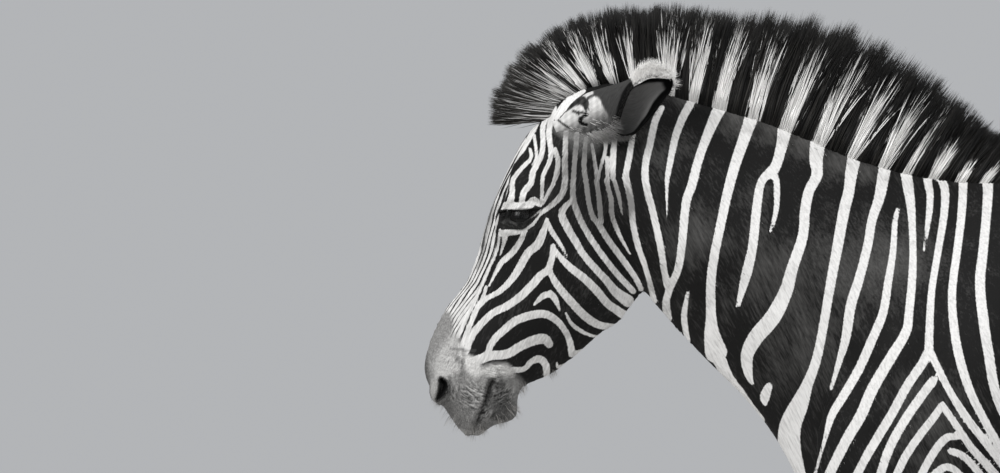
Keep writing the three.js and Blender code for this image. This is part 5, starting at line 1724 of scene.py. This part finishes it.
FLOOR_REACH = 30
SKY = (0.9, 0.92, 0.95, 1)
LIGHTS_AIM = (-0.3, 0, 1.2)
# Each light's name, place, width and power.
LIGHTS = (("key", (-3.6, -3.8, 4.4), 3.0, 250), ("fill", (2.8, -4.8, 2.8), 4.5, 60),
          ("back", (0.8, 4.6, 4.4), 5.0, 170), ("top", (-0.3, 0.2, 5.6), 5.0, 120))

# ---- The add-on ----


def colour_of(name, description, default):
    return bpy.props.FloatVectorProperty(name=name, description=description, default=default, size=3,
                                         min=0.0, max=1.0, subtype="COLOR")


def size_of(name, description, default, low=0.0, precision=4):
    return bpy.props.FloatProperty(name=name, description=description, default=default, min=low,
                                   subtype="DISTANCE", unit="LENGTH", precision=precision)


def count_of(name, description, default):
    return bpy.props.IntProperty(name=name, description=description, default=default, min=100)


class ZebraCoat(bpy.types.PropertyGroup):
    cell: size_of("Skin cell", "Width of the skin's faces before the head is made finer", 0.0069, 0.003)
    white: colour_of("White", "White hair of the coat", (0.74, 0.73, 0.715))
    # The grey that the white takes where it is duller and under painted shade, and on paler hairs of the mane
    # towards their tips.
    dull_and_shade: colour_of("Dull white", "White hair where it is greyer", (0.2, 0.196, 0.19))
    black: colour_of("Black", "Black hair of the coat", (0.006, 0.0058, 0.0056))
    # The dark stripes' colour under the painted sheen, also reached where random streaks and patches lighten
    # them.
    black_shine: colour_of("Black in the light", "Black hair where it is worn or shines",
                           (0.085, 0.083, 0.08))
    muzzle: colour_of("Muzzle", "Brightest grey of the muzzle's skin", (1.0, 0.985, 0.96))


class ZebraHair(bpy.types.PropertyGroup):
    width: size_of("Hair width", "Greatest width of one hair of the mane", 0.0021)
    hair_dark: colour_of("Dark hair", "Dark part of the mane and tail", (0.005, 0.0048, 0.0046))
    hair_brown: colour_of("Brown hair", "Lighter hairs among the dark ones", (0.06, 0.056, 0.051))
    mane_hairs: count_of("Mane hairs", "Hairs in the whole mane", 25000)
    tail_hairs: count_of("Tail hairs", "Hairs in the tail's tuft", 3000)
    fur_tufts: count_of("Fur tufts", "Short tufts on the whole skin", 52000)


class ZebraParts(bpy.types.PropertyGroup):
    horn: colour_of("Hoof horn", "Middle colour of the hooves", (0.055, 0.05, 0.045))
    iris: colour_of("Iris", "Middle colour of the iris", (0.004, 0.0036, 0.0034))


class ZebraStage(bpy.types.PropertyGroup):
    camera_distance: size_of("Camera distance", "From the camera to the eye's side", 18.0, 2.0, 2)
    floor: colour_of("Floor", "The plain floor", (0.5, 0.495, 0.485))
    light: bpy.props.FloatProperty(name="Light", description="Brightness of the soft lights", default=1.0,
                                   min=0.0)


def for_quick(full):
    return full


class ZEBRA_OT_skin(bpy.types.Operator):
    """Build the whole skin with its markings"""

    bl_idname = "zebra.skin"
    bl_label = "Skin"

    def execute(self, context):
        sizes = context.scene.zebra_coat
        mesh = build_skin(sizes.cell * for_quick(1.0))
        piece("zebra_skin", mesh, coat_finish(sizes), "coat", *SKIN_NODES)
        return {"FINISHED"}


class ZEBRA_OT_ears(bpy.types.Operator):
    """Build both ears with the fuzz along their rims"""

    bl_idname = "zebra.ears"
    bl_label = "Ears"

    def execute(self, context):
        finish = ear_finish(context.scene.zebra_coat)
        fuzz = hair_finish("ear_fuzz", HairColours(context), 0.9)
        for side, sign in SIDES:
            piece(f"zebra_ear_{side}", build_ear(sign), finish, "coat", f"ear_{side}")
            fringe = build_fringe(sign, for_quick(3600), 31 + sign)
            piece(f"ear_fringe_{side}", fringe, fuzz, "coat")
        return {"FINISHED"}


class ZEBRA_OT_eyes(bpy.types.Operator):
    """Build both eyeballs"""

    bl_idname = "zebra.eyes"
    bl_label = "Eyes"

    def execute(self, context):
        finish = eye_finish(context.scene.zebra_parts)
        for side, sign in SIDES:
            piece(f"zebra_eye_{side}", build_eye(sign), finish, "eye", f"eye_{side}")
        return {"FINISHED"}


class ZEBRA_OT_hooves(bpy.types.Operator):
    """Build the four hooves"""

    bl_idname = "zebra.hooves"
    bl_label = "Hooves"

    def execute(self, context):
        finish = horn_finish(context.scene.zebra_parts)
        for name, table, hoof, sign in LEGS:
            mesh = build_hoof(name, table, hoof, sign)
            piece(f"zebra_hoof_{name}", mesh, finish, "hoof_horn", f"{name}_hoof")
        return {"FINISHED"}


class HairColours:
    """The colours that a hair finish needs, taken from the coat's and the hair's settings."""

    def __init__(self, context):
        coat, hair = context.scene.zebra_coat, context.scene.zebra_hair
        self.white, self.dull_and_shade = coat.white, coat.dull_and_shade
        self.hair_dark, self.hair_brown = hair.hair_dark, hair.hair_brown


class ZEBRA_OT_mane(bpy.types.Operator):
    """Build the forelock and the standing mane"""

    bl_idname = "zebra.mane"
    bl_label = "Mane"

    def execute(self, context):
        sizes = context.scene.zebra_hair
        finish = hair_finish("mane_hair", HairColours(context), 0.8)
        hairs = sizes.mane_hairs * for_quick(1.0)
        for name, low, high, share, seed in MANE_PIECES:
            mesh = build_mane(name, low, high, int(hairs * share), sizes.width * 1000, seed)
            piece(f"zebra_{name}", mesh, finish, "mane_hair", name)
        return {"FINISHED"}


class ZEBRA_OT_tail(bpy.types.Operator):
    """Build the tuft of long hair at the end of the tail"""

    bl_idname = "zebra.tail"
    bl_label = "Tail tuft"

    def execute(self, context):
        sizes = context.scene.zebra_hair
        count = int(sizes.tail_hairs * for_quick(1.0))
        finish = hair_finish("tail_hair", HairColours(context), 0.6)
        piece("zebra_tail_tuft", build_tuft(count, 3.4, 21), finish, "mane_hair", "tail_tuft")
        return {"FINISHED"}


class ZEBRA_OT_short_hair(bpy.types.Operator):
    """Build the lashes, the feelers and the short tufts of the coat"""

    bl_idname = "zebra.short_hair"
    bl_label = "Short hair"

    def execute(self, context):
        skin = bpy.data.objects["zebra_skin"].data
        points = points_of(skin)
        x, _, z = points.T
        s, _ = in_head(points)
        sizes = context.scene.zebra_hair
        dark = tuple(sizes.hair_dark)
        piece("lashes", build_lashes(60, 41), plain_hair_finish("lash_hair", dark, dark), "coat")
        feelers = plain_hair_finish("feeler_hair", (0.1, 0.095, 0.09), (0.6, 0.58, 0.55))
        piece("whiskers", build_whiskers(skin, 42), feelers, "coat")
        total = sizes.fur_tufts * for_quick(1.0)
        face = (x < HEAD_FROM) & (s > 20)
        legs = ~face & (z < 860)
        neck = ~face & ~legs & (x < -150)
        body = ~face & ~legs & ~neck
        clear = (np.hypot(*(to_grid(points) - EYE_GRID).T) > 17) & ~inside(to_grid(points), NOSTRIL)
        spacing = np.where(by_openings(points), 0.07, np.where(on_face(points), 0.25, 1.0))
        length = np.where(face, 5.0, np.where(legs, 8.0, 9.0)) + 9 * legs * ridge(z - 150, 50)
        width = np.where(face, 0.6, 0.9)
        raised = 0.13 + 0.4 * ease(s, 560, 640) * face
        for name, where, unwrap, share, seed in (("fur_head", face & clear, unwrap_head, 0.28, 51),
                                                 ("fur_neck", neck, unwrap_body, 0.24, 54),
                                                 ("fur_body", body, unwrap_body, 0.28, 52),
                                                 ("fur_legs", legs & (z > 72), unwrap_legs, 0.2, 53)):
            count = int(total * share)
            mesh = build_fur(name, skin, unwrap, where * spacing, count, length, width, raised, seed)
            piece(name, mesh, skin.materials[0], "coat")
        return {"FINISHED"}


def place_camera(scene, distance):
    """A camera that looks level along Y, with the whole view's width on its plane."""
    middle = [(VIEW_CENTRE[0] - GRID_X) * GRID, VIEW_PLANE, GRID_Z - VIEW_CENTRE[1] * GRID]
    camera = bpy.data.objects.new("camera", bpy.data.cameras.new("camera"))
    camera.location = SHIFT + np.array(middle) / 1000 - np.array([0, distance, 0])
    camera.rotation_euler = (math.pi / 2, 0, 0)
    camera.data.sensor_width = SENSOR
    camera.data.lens = SENSOR * distance / (VIEW_WIDTH * GRID / 1000)
    camera.data.clip_end = 100
    scene.collection.objects.link(camera)
    scene.camera = camera


def lay_floor(scene, colour):
    """A plain pale floor under the hooves."""
    reach, base = FLOOR_REACH, CAD_BOX[0][2]
    corners = [(-reach, -reach, base), (reach, -reach, base), (reach, reach, base), (-reach, reach, base)]
    mesh = bpy.data.meshes.new("floor")
    mesh.from_pydata(corners, [], [(0, 1, 2, 3)])
    floor = bpy.data.objects.new("floor", mesh)
    scene.collection.objects.link(floor)
    paper = Finish("floor_paper", Roughness=0.9)
    speckle = paper.noise(paper.add("ShaderNodeTexCoord", out="Object"), (0.9, 0.9, 0.9), 3.0)
    mixed = paper.blend(speckle, tint(colour, 0.98), tint(colour, 1.02))
    mesh.materials.append(paper.feed("Base Color", mixed))


def hang_lights(scene, strength):
    """Four wide soft lights and an even sky."""
    world = bpy.data.worlds.new("studio")
    world.use_nodes = True
    sky = world.node_tree.nodes["Background"].inputs
    sky["Color"].default_value = SKY
    sky["Strength"].default_value = 0.5 * strength
    scene.world = world
    for name, place, width, power in LIGHTS:
        lamp = bpy.data.objects.new(name, bpy.data.lights.new(name, "AREA"))
        lamp.data.size = width
        lamp.data.energy = power * strength
        lamp.location = SHIFT + np.array(place)
        aim = Vector(SHIFT + np.array(LIGHTS_AIM) - np.array(lamp.location))
        lamp.rotation_euler = aim.to_track_quat("-Z", "Y").to_euler()
        scene.collection.objects.link(lamp)


class ZEBRA_OT_stage(bpy.types.Operator):
    """Set the camera, the soft lights and the pale floor"""

    bl_idname = "zebra.stage"
    bl_label = "Stage"

    def execute(self, context):
        scene = context.scene
        sizes = scene.zebra_stage
        place_camera(scene, sizes.camera_distance)
        lay_floor(scene, sizes.floor)
        hang_lights(scene, sizes.light)
        scene.view_settings.view_transform = "Standard"
        return {"FINISHED"}


class ZEBRA_PT_panel(bpy.types.Panel):
    """Zebra settings and pieces"""

    bl_label = "Zebra"
    bl_idname = "ZEBRA_PT_panel"
    bl_space_type = "VIEW_3D"
    bl_region_type = "UI"
    bl_category = "Zebra"

    def draw(self, context):
        for group in GROUPS:
            box = self.layout.box()
            for prop in group.__annotations__:
                box.prop(getattr(context.scene, GROUPS[group]), prop)
        for operator in OPERATORS:
            self.layout.operator(operator.bl_idname)


GROUPS = {ZebraCoat: "zebra_coat", ZebraHair: "zebra_hair", ZebraParts: "zebra_parts",
          ZebraStage: "zebra_stage"}
OPERATORS = (ZEBRA_OT_skin, ZEBRA_OT_ears, ZEBRA_OT_eyes, ZEBRA_OT_hooves, ZEBRA_OT_mane, ZEBRA_OT_tail,
             ZEBRA_OT_short_hair, ZEBRA_OT_stage)


def register():
    for group, name in GROUPS.items():
        bpy.utils.register_class(group)
        setattr(bpy.types.Scene, name, bpy.props.PointerProperty(type=group))
    for operator in (*OPERATORS, ZEBRA_PT_panel):
        bpy.utils.register_class(operator)


def unregister():
    for operator in (ZEBRA_PT_panel, *reversed(OPERATORS)):
        bpy.utils.unregister_class(operator)
    for group, name in GROUPS.items():
        delattr(bpy.types.Scene, name)
        bpy.utils.unregister_class(group)


def main():
    register()
    for operator in OPERATORS:
        group, name = operator.bl_idname.split(".")
        getattr(getattr(bpy.ops, group), name)()
    bpy.context.view_layer.update()


if __name__ == "__main__":
    main()
